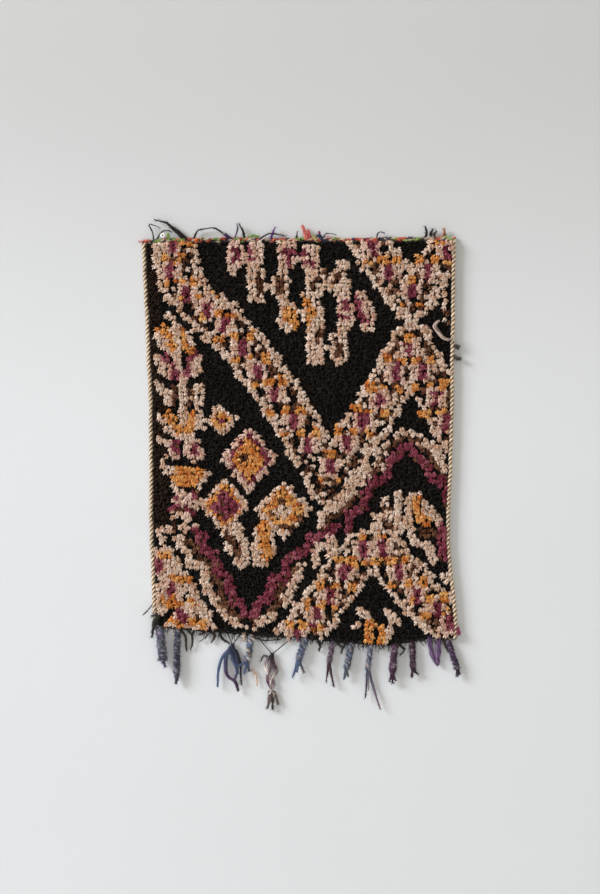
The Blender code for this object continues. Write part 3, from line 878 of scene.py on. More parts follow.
@dataclass(frozen=True)
class PileFinish:
    """Hand-spun wool yarn, cut as a tuft: matt, dark in the root, paler and dusty at the tip.

    The attribute "yarn" holds the share of the way along the strand, made smaller on the strands at a lock's
    rim, a number drawn for each strand, and how much of a neighbour's dye has bled into the knot. The
    darkening from
    that share is painted shade: dark towards the root and on the rim strands, which leaves a painted
    highlight in the middle of each lock.
    """

    name: str
    root: str
    body: str
    tip: str
    odd: str
    bled: str
    sheen: float = 0.35
    fibre_mm: float = 0.9
    fibre_height_mm: float = 0.3

    def material(self) -> bpy.types.Material:
        """Build the material."""
        made, tree, shader = new_material(self.name)
        yarn = add_node(tree, "ShaderNodeAttribute", {"attribute_name": "yarn"}, {})
        parts = add_node(tree, "ShaderNodeSeparateColor", {}, {0: yarn.outputs["Color"]})
        along, drawn, bleed = parts.outputs[0], parts.outputs[1], parts.outputs[2]
        depth = add_node(tree, "ShaderNodeMapRange", {}, {0: along, 1: 0.20, 2: 0.66})
        strand = add_node(tree, "ShaderNodeMapRange", {}, {0: drawn, 1: 0.40, 2: 0.9, 3: 0.0, 4: 0.9})
        paler = add_node(tree, "ShaderNodeMath", {"operation": "MULTIPLY"}, {0: strand.outputs[0], 1: along})
        odd = add_node(tree, "ShaderNodeMapRange", {}, {0: drawn, 1: 0.34, 2: 0.08, 3: 0.0, 4: 0.85})
        layers = (
            # Dark in the root, where little light gets in between the tufts.
            (depth.outputs[0], self.body),
            # The tips of about half the strands are bleached and dusty.
            (paler.outputs[0], self.tip),
            # A few strands come from another part of the fleece or of the dye bath.
            (odd.outputs[0], self.odd),
            (bleed, self.bled),
        )
        colour = linear(self.root)
        for share, shade in layers:
            inputs = {0: share, 6: colour, 7: linear(shade)}
            colour = add_node(tree, "ShaderNodeMix", OVER, inputs).outputs[2]
        span = (0.3, 0.7, 0.80, 1.12)
        colour, fibre = mottle(tree, colour, self.fibre_mm, span, Detail=2.0, Roughness=0.6)
        tree.links.new(colour, shader.inputs["Base Color"])
        inputs = {"Strength": 0.5, "Distance": self.fibre_height_mm * MM, "Height": fibre}
        bump = add_node(tree, "ShaderNodeBump", {}, inputs)
        tree.links.new(bump.outputs[0], shader.inputs["Normal"])
        # Wool scatters light at its surface: no gloss, and a pale bloom towards the rim of each tuft.
        shader.inputs["Roughness"].default_value = 0.92
        shader.inputs["Specular IOR Level"].default_value = 0.15
        shader.inputs["Sheen Weight"].default_value = self.sheen
        shader.inputs["Sheen Roughness"].default_value = 0.45
        shader.inputs["Sheen Tint"].default_value = linear(self.tip)
        return made


@dataclass(frozen=True)
class YarnFinish:
    """Twisted or woven wool yarn, dyed along its length: the attribute "dye" holds its colour."""

    name: str
    fibre_mm: float = 0.7
    fleck: float = 0.28
    sheen: float = 0.3
    strength: float = 1.0
    tone_and_painted_light: float = 1.0
    fibre_height_mm: float = 0.3

    def material(self) -> bpy.types.Material:
        """Build the material."""
        made, tree, shader = new_material(self.name)
        dye = add_node(tree, "ShaderNodeAttribute", {"attribute_name": "dye"}, {})
        # Years of light wash the dye out a little. The value scale darkens or brightens the whole yarn, and
        # on the side cords it is painted light: the right cord, which the pile shades, is painted brighter.
        fade = {"Saturation": self.strength, "Value": self.tone_and_painted_light, "Color": dye.outputs["Color"]}
        faded = add_node(tree, "ShaderNodeHueSaturation", {}, fade)
        span = (0.3, 0.7, 1 - self.fleck, 1 + self.fleck)
        colour, fibre = mottle(tree, faded.outputs[0], self.fibre_mm, span, Detail=3.0)
        tree.links.new(colour, shader.inputs["Base Color"])
        inputs = {"Strength": 0.6, "Distance": self.fibre_height_mm * MM, "Height": fibre}
        bump = add_node(tree, "ShaderNodeBump", {}, inputs)
        tree.links.new(bump.outputs[0], shader.inputs["Normal"])
        # Tighter yarn than the pile, so a trace less matt.
        shader.inputs["Roughness"].default_value = 0.88
        shader.inputs["Specular IOR Level"].default_value = 0.2
        shader.inputs["Sheen Weight"].default_value = self.sheen
        shader.inputs["Sheen Roughness"].default_value = 0.5
        return made


BLACK_WOOL = PileFinish("Black wool pile", "#0a0a0a", "#1e1d1c", "#383532", "#261f1b", "#3c2a1f", 0.10)
CREAM_WOOL = PileFinish("Cream wool pile", "#785038", "#e6c8b2", "#f9e9de", "#c49472", "#d89a92")
ORANGE_WOOL = PileFinish("Orange wool pile", "#642c10", "#e6954a", "#f8cf8c", "#ac4c22", "#dcae88")
MAGENTA_WOOL = PileFinish("Magenta wool pile", "#36141a", "#8a3a4c", "#be7480", "#5c2028", "#88483e")
BROWN_WOOL = PileFinish("Brown wool pile", "#20100a", "#6a4230", "#a67c60", "#3a2216", "#8a5636")


# The pile


@dataclass(frozen=True)
class PileYarn:
    """How one wool's knots stand. Each knot is one lock: a tuft whose strands open like a brush.

    lay is how far a lock leans over on its way out, and open is how far its strands part from its
    middle. scatter is how much the bearings of the locks differ, in radians, and splay is how strongly
    they follow the lean out of their motif.
    """

    wool: Wool
    pieces: tuple[str, ...]
    finish: PileFinish
    strands: int
    radius: float
    length: float
    points: int = 3
    sides: int = 4
    lay: float = 0.95
    open: float = 0.66
    root_spread: float = 1.7
    scatter: float = 0.45
    splay: float = 3.3


@dataclass
class Pile:
    """The whole pile, in pieces by wool and by height on the rug."""

    chart: KnotChart
    cloth_front: float = 2.6
    shift: float = 0.9
    lean_reach: float = 24.0
    # How far magenta dye has run, and the width and foot of the browned strip along the left side.
    pink_reach: float = 17.0
    strip_width: float = 34.0
    strip_foot: float = -560.0
    bulge: tuple[float, ...] = (0.88, 1.22, 0.20)
    yarns: tuple[PileYarn, ...] = (
        PileYarn(BLACK, ("pile_black_top", "pile_black_low"), BLACK_WOOL, 4, 1.6, 11.5,
                 sides=3, open=1.0, root_spread=2.2, scatter=0.9, splay=0.0),
        PileYarn(CREAM, ("pile_cream_top", "pile_cream_middle", "pile_cream_low"), CREAM_WOOL, 6, 2.15, 13.5),
        PileYarn(ORANGE, ("pile_orange",), ORANGE_WOOL, 6, 2.10, 13.5),
        PileYarn(MAGENTA, ("pile_magenta",), MAGENTA_WOOL, 6, 2.05, 13.0),
        PileYarn(BROWN, ("pile_brown",), BROWN_WOOL, 5, 1.85, 12.0),
    )  # fmt: skip

    def bleed(self) -> Array:
        """How much of a neighbour's colour each knot has taken: pink beside magenta, brown in old black."""
        chart = self.chart
        pink = 0.55 * chart.nearness(MAGENTA, self.pink_reach) * (chart.wool == CREAM)
        patch = np.sin(chart.x / 47 + 1.3) * np.sin(chart.z / 61) + 0.5 * np.sin(chart.x / 19 - chart.z / 23)
        strip = (chart.x < chart.outline.left(chart.z) + self.strip_width) & (chart.z > self.strip_foot)
        umber = np.clip(0.04 + 0.14 * patch, 0, 0.3) + 0.8 * strip
        return np.clip(pink + umber * (chart.wool == BLACK), 0, 1) * (0.6 + 0.4 * chart.chance)

    def locks(self, yarn: PileYarn, knots: NDArray, seed: int) -> TubeSet:
        """Work out the strands of some knots.

        A strand's direction at share s is the unit vector of straight out + (0.25 + s) lay * W
        + (0.2 + 0.8 s) open * R. W points the lock's way: down plus splay times the lean, swung by a draw
        for the lock. R is the strand's own place round the lock's middle. The strand's points add up
        these directions times its length.

        Args:
            yarn: the wool and how it stands.
            knots: the numbers of the knots.
            seed: the draw's seed.

        Returns:
            The tubes, with the attribute "yarn".
        """
        draw = np.random.default_rng(seed)
        chart = self.chart
        locks, strands = len(knots), yarn.strands
        lean = yarn.splay * chart.splay(self.lean_reach)[knots]
        bearing = np.arctan2(lean[:, 0], 1.0 - lean[:, 1]) + draw.normal(0, yarn.scatter, locks)
        lay = yarn.lay * draw.uniform(0.55, 1.25, locks)
        way = np.stack([lay * np.sin(bearing), -lay * np.cos(bearing)], axis=-1)[:, None, None, :]
        turn = 2 * np.pi * np.arange(strands) / (strands - 1) + draw.uniform(0, 6.3, (locks, 1))
        turn = turn + draw.normal(0, 0.2, (locks, strands))
        reach = np.where(np.arange(strands) == 0, 0.15, 1.0) * draw.uniform(0.55, 1.1, (locks, strands))
        part = (reach[..., None] * np.stack([np.cos(turn), np.sin(turn)], axis=-1))[:, :, None, :]
        s = np.linspace(0, 1, yarn.points)[:, None]
        curl = draw.normal(0, 0.35, (locks, strands, 1, 2)) * s**2
        lateral = (0.25 + s) * way + (0.2 + 0.8 * s) * yarn.open * part + curl
        out = unit(np.stack([lateral[..., 0], -np.ones(lateral.shape[:-1]), lateral[..., 1]], axis=-1))
        length = yarn.length * draw.uniform(0.86, 1.1, (locks, 1))
        length = length * draw.uniform(0.85, 1.08, (locks, strands))
        heading = out * (length / (yarn.points - 1))[..., None, None]
        moved = np.cumsum(0.5 * (heading[..., 1:, :] + heading[..., :-1, :]), axis=-2)
        moved = np.concatenate([np.zeros_like(moved[..., :1, :]), moved], axis=-2)
        foot = yarn.root_spread * part[:, :, 0, :] + draw.normal(0, self.shift, (locks, 1, 2))
        x, z = chart.x[knots][:, None] + foot[..., 0], chart.z[knots][:, None] + foot[..., 1]
        root = np.stack([x, np.full_like(x, -self.cloth_front), z], axis=-1)
        paths = (root[..., None, :] + moved).reshape(-1, yarn.points, 3)
        bulge = np.interp(s[:, 0], np.linspace(0, 1, len(self.bulge)), self.bulge)
        radii = yarn.radius * draw.uniform(0.8, 1.2, (len(paths), 1)) * bulge
        references = unit(draw.normal(0, 1, (len(paths), 3)))
        tone = 0.72 * draw.uniform(0, 1, (locks, 1)) + 0.28 * draw.uniform(0, 1, (locks, strands))
        attribute = np.empty((len(paths), yarn.points, 3))
        # The share along is smaller on a lock's rim strands, so they take more of the root's painted shade
        # and each lock gets a painted highlight in its middle.
        attribute[..., 0] = s[:, 0] * (1 - 0.30 * reach.reshape(-1, 1) ** 2)
        attribute[..., 1] = tone.reshape(-1, 1)
        attribute[..., 2] = np.repeat(self.bleed()[knots], yarn.strands)[:, None]
        return TubeSet(paths, radii, references, yarn.sides, {"yarn": attribute}, pointed=True)

    def build(self) -> list[bpy.types.Object]:
        """Make each yarn's pieces in its finish: its knots from the top down, in equal shares."""
        made = []
        for number, yarn in enumerate(self.yarns):
            material = yarn.finish.material()
            shares = np.array_split(np.flatnonzero(self.chart.wool == yarn.wool), len(yarn.pieces))
            for part, (name, knots) in enumerate(zip(yarn.pieces, shares)):
                piece = join_tubes(name, [self.locks(yarn, knots, 100 + 10 * number + part)])
                piece.data.materials.append(material)
                made.append(piece)
        return made


# The ground cloth


@dataclass
class GroundCloth:
    """The woven ground with the knots' backs showing on its flat rear side."""

    chart: KnotChart
    front: float = 2.6
    ridge: float = 0.7
    margin: float = 0.010
    warp: str = "#4a3a2c"
    backs: dict[Wool, str] = field(
        default_factory=lambda: {
            BLACK: "#1a1613",
            CREAM: "#b89c84",
            ORANGE: "#a8642a",
            MAGENTA: "#6b2a3c",
            BROWN: "#4a2f20",
        }
    )

    def build(self) -> bpy.types.Object:
        """Make a closed sheet: a grid of one cell across and two down for each knot, front and back.

        The back stands up by the ridge's height between the rows of knots, and a little less at each warp.
        """
        chart = self.chart
        across, down = chart.columns, 2 * chart.rows
        shares = np.linspace(-self.margin, 1 + self.margin, across + 1)
        u, v = np.meshgrid(shares, np.linspace(0, 1, down + 1))
        x, z = chart.outline.field(u, v)
        row = (np.arange(down + 1) % 2)[:, None] * np.ones(across + 1)
        warp = (np.arange(across + 1) % 2)[None, :] * np.ones((down + 1, 1))
        back = -0.15 - self.ridge * (0.7 * row + 0.3 * warp)
        column = np.clip((u * chart.columns).astype(int), 0, chart.columns - 1)
        line = np.clip((v * chart.rows).astype(int), 0, chart.rows - 1)
        wools = chart.wool.reshape(chart.rows, chart.columns)[line, column]
        table = np.array([linear(self.backs[wool])[:3] for wool in Wool])
        dye = table[wools]
        weft = np.array(linear(self.warp)[:3])
        dye = np.where((row < 0.5)[..., None], 0.45 * dye + 0.55 * weft, dye)
        # The front face is near black: painted shade between the tufts, where the pile's roots lie in shadow.
        dark = np.broadcast_to(np.array(linear("#0d0b0a")[:3]), dye.shape)
        depths = (back, np.full_like(x, -self.front))
        layers = [np.stack([x, depth, z], -1).reshape(-1, 3) for depth in depths]
        count = x.size
        index = np.arange(count).reshape(x.shape)
        rear = np.stack([index[:-1, :-1], index[:-1, 1:], index[1:, 1:], index[1:, :-1]], -1).reshape(-1, 4)
        face = rear[:, ::-1] + count
        rim = np.concatenate([index[0, :-1], index[:-1, -1], index[-1, :0:-1], index[:0:-1, 0]])
        after = np.roll(rim, -1)
        wall = np.stack([after, rim, rim + count, after + count], -1)
        quads = np.concatenate([rear, face, wall])
        colours = {"dye": np.concatenate([dye.reshape(-1, 3), dark.reshape(-1, 3)])}
        piece = write_mesh("ground_cloth", np.concatenate(layers), quads, np.empty((0, 3), int), colours)
        piece.data.materials.append(YarnFinish("Woven wool ground", 1.6, 0.3, 0.15).material())
        return piece


# Cords, heading, fringe and pin


def dye_of(shade: str) -> Array:
    """A hex colour as three linear numbers."""
    return np.array(linear(shade)[:3])


def dye_along(shades: Sequence[str], share: Array) -> Array:
    """The colour at each share of a yarn's length, blended between its shades, which are evenly spaced."""
    table = np.array([dye_of(shade) for shade in shades])
    if len(table) == 1:
        return np.broadcast_to(table[0], (len(share), 3)).copy()
    knots = np.linspace(0, 1, len(table))
    return np.stack([np.interp(share, knots, table[:, channel]) for channel in range(3)], axis=-1)


def run_of(path: Array) -> Array:
    """The distance along a path at each of its points."""
    return np.concatenate([[0.0], np.cumsum(np.linalg.norm(np.diff(path, axis=0), axis=1))])


def helix(path: Array, radius: float | Array, pitch: float, phase: float) -> Array:
    """Wind a ply round a path: P + r (cos a * A + sin a * B), with a = 2 pi (distance / pitch) + phase.

    Args:
        path: the middle line, one row for each point.
        radius: from the middle line to the ply's middle, once or at each point.
        pitch: the length of one turn.
        phase: the angle at the start.

    Returns:
        The ply's points.
    """
    along = unit(np.gradient(path, axis=0))
    across = unit(np.cross(along, np.array([0.0, 1.0, 0.0])))
    other = np.cross(across, along)
    angle = 2 * np.pi * run_of(path) / pitch + phase
    reach = np.broadcast_to(np.asarray(radius, dtype=float), angle.shape)[:, None]
    return path + reach * (np.cos(angle)[:, None] * across + np.sin(angle)[:, None] * other)


def ply(path: Array, width: float | Array, colours: Array, sides: int = 5) -> TubeSet:
    """One round yarn along a path, in one colour or in one for each point."""
    radii = np.broadcast_to(np.asarray(width, dtype=float) / 2, (len(path),))[None]
    dyes = np.broadcast_to(colours, (len(path), 3))[None]
    return TubeSet(path[None], radii.copy(), np.array([[0.0, 1.0, 0.02]]), sides, {"dye": dyes.copy()})


def fuzz(
    draw: np.random.Generator, path: Array, width: float, colours: Array, count: int, reach: float
) -> TubeSet:
    """Loose hairs round a yarn, each a thin curl that starts inside it and stands off its side.

    Args:
        draw: the random numbers.
        path: the yarn's middle line.
        width: the yarn's width.
        colours: the yarn's colour at each of its points.
        count: how many hairs.
        reach: how long they are, before a draw that can halve it.

    Returns:
        The hairs' tubes.
    """
    start = draw.integers(0, len(path), count)
    along = unit(np.gradient(path, axis=0))[start]
    side = unit(np.cross(along, unit(draw.normal(0, 1, (count, 3)))))
    length = reach * draw.uniform(0.5, 1.1, (count, 1))
    bend = draw.normal(0, 0.5, (count, 3))
    root = path[start] + 0.3 * width * side
    middle = root + 0.5 * length * unit(side + 0.8 * along)
    tip = middle + 0.5 * length * unit(0.7 * side + 0.9 * along + bend)
    paths = np.stack([root, middle, tip], axis=1)
    paths[..., 1] = np.minimum(paths[..., 1], -0.4)
    radii = np.array([0.42, 0.36, 0.18]) * draw.uniform(0.8, 1.2, (count, 1))
    tone = colours[start] * draw.uniform(0.8, 1.5, (count, 1))
    references = unit(draw.normal(0, 1, (count, 3)))
    return TubeSet(paths, radii, references, 3, {"dye": np.repeat(tone[:, None], 3, axis=1)})


def lock(
    draw: np.random.Generator, points: Points3, width: float, tip: float, shades: Sequence[str], fibres: int
) -> list[TubeSet]:
    """A loose yarn end: fibres that lie together at the root, wave, and part at the tip.

    Args:
        draw: the random numbers.
        points: the yarn's middle line as (across, height, forward of the back plane).
        width: the bundle's width at its root.
        tip: its width at the tip.
        shades: the yarn's colours along its length.
        fibres: how many strands make it.

    Returns:
        The fibres' tubes.
    """
    placed = np.array([(x, -forward, z) for x, z, forward in points], dtype=float)
    path = smooth_path(placed, 4 * (len(points) - 1) + 2)
    share = np.linspace(0, 1, len(path))
    spread = (width + (tip - width) * share) / 2
    colours = dye_along(shades, share)
    made = []
    for number in range(fibres):
        angle = 2.4 * number + share * draw.uniform(1.5, 4.5)
        out = (0.0 if number == 0 else 1.0) * draw.uniform(0.45, 0.85) * spread
        offset = np.stack([np.cos(angle), 0.7 * np.sin(angle), 0.4 * np.sin(angle + 1)], -1) * out[:, None]
        moved = path + offset
        moved[:, 1] = np.minimum(moved[:, 1], -0.7)
        ripple = np.sin(share * draw.uniform(12, 26) + draw.uniform(0, 6.3))
        thick = max(1.10 * width / math.sqrt(fibres), 1.3) * (1 - 0.42 * share**2) * (1 + 0.22 * ripple)
        made.append(ply(moved, thick, colours * (draw.uniform(0.72, 1.25) * (1 - 0.3 * ripple))[:, None], 4))
    made.append(fuzz(draw, path, width, colours, 6 * fibres, 4.0))
    return made


@dataclass(frozen=True)
class LooseEnd:
    """A yarn end that stands out of an edge: its widths, colours, fibres and middle line."""

    width: float
    tip: float
    shades: tuple[str, ...]
    fibres: int
    points: Points3


@dataclass
class SideCord:
    """One overcast edge: cream yarns laid slantwise over the side warps, with dark lines between them."""

    outline: Outline
    node: str
    right: bool
    # How much the cord's yarn is brightened: painted light, more on the right cord, which the pile shades
    # from the window light.
    tone_and_painted_light: float
    lift: float
    loose: tuple[LooseEnd, ...]
    pitch: float = -17.0
    reach: float = 2.0
    steps: int = 620
    # The brown plies are thinner, so they sit deeper between the cream ones; they are partly a darker yarn
    # and partly painted shade in the grooves between the wraps.
    plies: tuple[tuple[str, float], ...] = (
        ("#e0ccb2", 4.7), ("#5c4432", 3.7), ("#d4bea2", 4.7), ("#6a5240", 3.7),
    )  # fmt: skip

    def build(self) -> bpy.types.Object:
        """Wind the plies down the side."""
        draw = np.random.default_rng(31 + self.right)
        low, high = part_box(self.node)
        z = np.linspace(high.z, low.z, self.steps) / MM
        width = self.outline.cord_width
        inward = -1 if self.right else 1
        edge = self.outline.right(z) if self.right else self.outline.left(z)
        waver = 0.5 * np.sin(z / 31.0) * np.sin(z / 13.0 + 1)
        depth = np.full_like(z, -width / 2 - self.lift)
        middle = np.stack([edge + inward * width / 2 + waver, depth, z], axis=-1)
        sets = []
        for number, (shade, thick) in enumerate(self.plies):
            path = helix(middle, self.reach, self.pitch, 2 * np.pi * number / len(self.plies))
            grime = 0.90 + 0.10 * np.sin(z / 37.0 + number) + 0.05 * draw.normal(0, 1, len(z))
            sets.append(ply(path, thick, dye_of(shade) * grime[:, None], 5 - number % 2))
        sets.append(fuzz(draw, middle, width, np.broadcast_to(dye_of("#b59a78"), middle.shape), 160, 4.0))
        for end in self.loose:
            sets.extend(lock(draw, end.points, end.width, end.tip, end.shades, end.fibres))
        piece = join_tubes(self.node + "_cord", sets)
        finish = YarnFinish("Overcast wool, " + self.node[9:], 0.6, 0.22, 0.3, 1.0, self.tone_and_painted_light)
        piece.data.materials.append(finish.material())
        return piece


LEFT_ENDS = (
    LooseEnd(3.6, 2.4, ("#3a2a20", "#5a4636"), 3, ((-272, -690, 5), (-283, -702, 6), (-296, -716, 7))),
    LooseEnd(11.0, 8.0, ("#1b1614", "#241c18"), 16, ((-266, -716, 7), (-273, -726, 9), (-275, -738, 8))),
    LooseEnd(8.0, 3.0, ("#1b1614", "#2b201a"), 9, ((-268, -728, 7), (-276, -742, 8), (-279, -758, 8))),
    LooseEnd(9.0, 6.0, ("#1b1614", "#241c18"), 12, ((-262, -712, 8), (-271, -714, 9), (-279, -717, 8))),
)  # fmt: skip
RIGHT_ENDS = (
    LooseEnd(6.5, 6.5, ("#a8968a", "#9c887a", "#b3a294"), 6, (
        (264, -158, 13), (256, -168, 15), (264, -180, 15),
        (274, -191, 14), (284, -194, 14), (294, -189, 13))),
    LooseEnd(9.0, 8.0, ("#4a3a31", "#2e241f"), 14, ((290, -204, 6), (297, -206, 7), (303, -208, 7))),
    LooseEnd(10.0, 8.0, ("#57483f", "#33291f"), 14, ((290, -225, 6), (298, -228, 7), (306, -231, 7))),
    LooseEnd(11.0, 10.0, ("#7c3050", "#8c3c5c"), 16, ((293, -735, 6), (299, -743, 7), (303, -753, 7))),
)  # fmt: skip


@dataclass
class Heading:
    """The twined top edge: four yarns that change places, and the loose ends that stand up from it."""

    outline: Outline
    depth: float = 4.0
    pitch: float = 26.0
    steps: int = 460
    change: float = 15.0
    bends: int = 58
    loose: tuple[LooseEnd, ...] = (
        LooseEnd(6.5, 2.4, ("#2c211b", "#231a16", "#43352c"), 7,
                 ((-219, -4, 4), (-226, 5, 5), (-239, 17, 6), (-251, 28, 7), (-262, 31, 7), (-274, 34, 8))),
        LooseEnd(9.0, 6.0, ("#1a1412", "#241a15"), 9,
                 ((-212, -4, 4), (-222, 4, 5), (-232, 13, 6), (-243, 21, 7))),
        LooseEnd(2.4, 1.6, ("#4a3d37", "#2f2724"), 2,
                 ((-276, -5, 4), (-277, 9, 5), (-284, 25, 6), (-274, 23, 8), (-262, 18, 9))),
        LooseEnd(3.0, 2.6, ("#3c2f29", "#5a4a44"), 3,
                 ((-270, -4, 4), (-262, 9, 5), (-252, 14, 6), (-240, 10, 7))),
        LooseEnd(6.0, 6.0, ("#86ab4a", "#a4c25e"), 6, ((-247, -8, 4), (-247, 0, 6), (-249, 8, 6))),
        LooseEnd(4.4, 2.2, ("#2e2420", "#3b2c26", "#241c19"), 5,
                 ((-200, -3, 4), (-192, 13, 6), (-176, 17, 7), (-160, 18, 7), (-143, 8, 6))),
        LooseEnd(8.5, 8.0, ("#5b3a74", "#42265a"), 9, ((-118, -11, 5), (-130, -2, 6), (-141, 7, 6))),
        LooseEnd(2.8, 1.8, ("#6a4c7a", "#4d3a55"), 2, ((-122, -3, 4), (-116, 17, 6), (-118, 27, 9))),
        LooseEnd(4.4, 1.8, ("#1c1817", "#332a26"), 4, ((-103, -3, 4), (-106, 12, 6), (-114, 27, 9))),
        LooseEnd(7.0, 6.0, ("#7fa246", "#9dbd62"), 6, ((-96, 0, 5), (-86, 4, 6), (-76, 2, 6))),
        LooseEnd(4.4, 2.0, ("#2a2221", "#231d1d"), 5, ((-72, 0, 4), (-56, 8, 6), (-40, 6, 7), (-24, 3, 7))),
        LooseEnd(6.0, 2.2, ("#4d2b68", "#5c347a", "#7a52a0"), 7, ((-51, -13, 6), (-52, 2, 6), (-45, 20, 8))),
        LooseEnd(3.0, 1.8, ("#1f1a19", "#2c2422"), 2, ((-4, -3, 4), (-4, 4, 5), (-3, 12, 6))),
        LooseEnd(8.5, 2.6, ("#e2685a", "#ea8378", "#e9746a"), 9, ((16, -3, 4), (11, 10, 6), (6, 24, 8))),
        LooseEnd(7.0, 3.0, ("#d9503e", "#e8766a"), 7, ((19, -4, 4), (20, 6, 6), (15, 14, 8))),
        LooseEnd(6.0, 4.5, ("#b4aa62", "#e0d39a"), 6, ((27, 4, 5), (31, -2, 6), (36, -9, 6))),
        LooseEnd(8.0, 6.0, ("#2b3048", "#333f63", "#22283c"), 9, ((36, 6, 5), (43, -2, 6), (50, -10, 6))),
        LooseEnd(3.6, 2.6, ("#a03468",), 3, ((36, 3, 5), (39, 9, 6), (37, 12, 7))),
        LooseEnd(5.0, 4.0, ("#cf4a2f", "#e8a184"), 5, ((54, 0, 5), (62, -3, 6), (68, -9, 6))),
        LooseEnd(2.4, 1.8, ("#2b2625", "#55504c"), 2, ((46, -3, 4), (52, 8, 6), (70, 6, 7))),
        LooseEnd(2.4, 1.8, ("#1d1a1a", "#2e2a2a"), 2, ((148, -3, 4), (149, 7, 6), (155, 11, 6), (163, 7, 7))),
        LooseEnd(7.0, 6.0, ("#8bb354", "#c8d08a"), 7, ((198, -4, 5), (208, -5, 6), (218, -2, 6))),
        LooseEnd(5.4, 2.6, ("#2a211d", "#1f1916"), 6, ((238, -4, 4), (242, 9, 6), (239, 21, 8))),
        LooseEnd(5.4, 3.0, ("#33251e", "#241b17"), 6, ((250, -4, 4), (250, 8, 6), (255, 17, 8))),
        LooseEnd(5.0, 3.4, ("#3a2a22", "#4a382d"), 5, ((258, -3, 4), (256, 6, 6), (260, 12, 8))),
        LooseEnd(7.0, 4.0, ("#d9a98a", "#a85a34", "#dcb79c"), 7, ((270, -4, 4), (276, 8, 6), (274, 18, 8))),
        LooseEnd(8.5, 7.0, ("#93bd5c", "#cfd79c", "#7fae48"), 10, ((276, 4, 4), (286, -4, 5), (293, -15, 6))),
        LooseEnd(5.0, 4.0, ("#dcd6b0", "#9cc070"), 5, ((270, -2, 5), (280, 2, 6), (291, -4, 7))),
        LooseEnd(5.0, 5.0, ("#e07a68", "#ef9a90"), 7, ((-284, -6, 4), (-296, -6, 5), (-303, -8, 6))),
    )  # fmt: skip
    # Columns: the yarn's shade, and how much of the edge shows it.
    shades: tuple[tuple[str, float], ...] = (
        ("#dd6a4c", 0.20),
        ("#8aa850", 0.20),
        ("#e0cdb8", 0.28),
        ("#5d3f72", 0.09),
        ("#2f3346", 0.13),
        ("#c8452e", 0.10),
    )

    def build(self) -> bpy.types.Object:
        """Twine the yarns along the edge, change their colours along the way, and add the loose ends."""
        draw = np.random.default_rng(7)
        x = np.linspace(-297, 297, self.steps)
        width = self.outline.heading_width
        z = self.outline.top(x) - width / 2 + 0.6 * np.sin(x / 23.0) + 0.4 * np.sin(x / 5.1)
        middle = np.stack([x, np.full_like(x, -self.depth), z], axis=-1)
        table = np.array([dye_of(shade) for shade, _ in self.shades])
        share = np.array([part for _, part in self.shades])
        sets: list[TubeSet] = []
        for number in range(4):
            path = helix(middle, 1.7, self.pitch, 0.5 * np.pi * number)
            stretch = ((x + 297 + 4 * number) // self.change).astype(int)
            chosen = table[draw.choice(len(table), stretch.max() + 1, p=share / share.sum())]
            lumps = 3.3 + 0.35 * np.sin(x / 2.9 + number)
            sets.append(ply(path, lumps, chosen[stretch]))
            sets.append(fuzz(draw, path, 3.4, chosen[stretch], 90, 4.5))
        for place in draw.uniform(-288, 288, self.bends):
            shade = self.shades[draw.choice(len(self.shades), p=share / share.sum())][0]
            half, slant, rise = draw.uniform(3.5, 6.5), draw.uniform(-2.5, 2.5), draw.uniform(-5.5, 1.0)
            height = float(self.outline.top(place)) - width / 2 + rise
            left, right = (place - half, height - slant, 4), (place + half, height + slant, 4)
            sets.extend(lock(draw, (left, (place, height + 1, 8.5), right), 4.4, 3.8, (shade,), 4))
        for end in self.loose:
            sets.extend(lock(draw, end.points, end.width, end.tip, end.shades, end.fibres))
        piece = join_tubes("heading_yarns", sets)
        piece.data.materials.append(YarnFinish("Twined heading wool", 0.6, 0.3, 0.1, 0.95, 0.74).material())
        return piece


@dataclass(frozen=True)
class Tassel:
    """A tassel knotted straight to the hem: three fat yarns twisted round each other, and its tails.

    A tail is (across, down, shade) from the foot.
    """

    root: float
    foot: tuple[float, float]
    width: float
    shades: tuple[tuple[str, ...], ...]
    tails: tuple[tuple[float, float, str], ...]
    pitch: float = 30.0
    waist: float = 1.0


@dataclass(frozen=True)
class HungTassel:
    """A tassel that hangs from two threads. Each of its locks has a width, shades and points."""

    roots: tuple[float, float]
    knot: tuple[float, float]
    width: float
    wrap: str
    locks: tuple[tuple[float, tuple[str, ...], Points], ...]


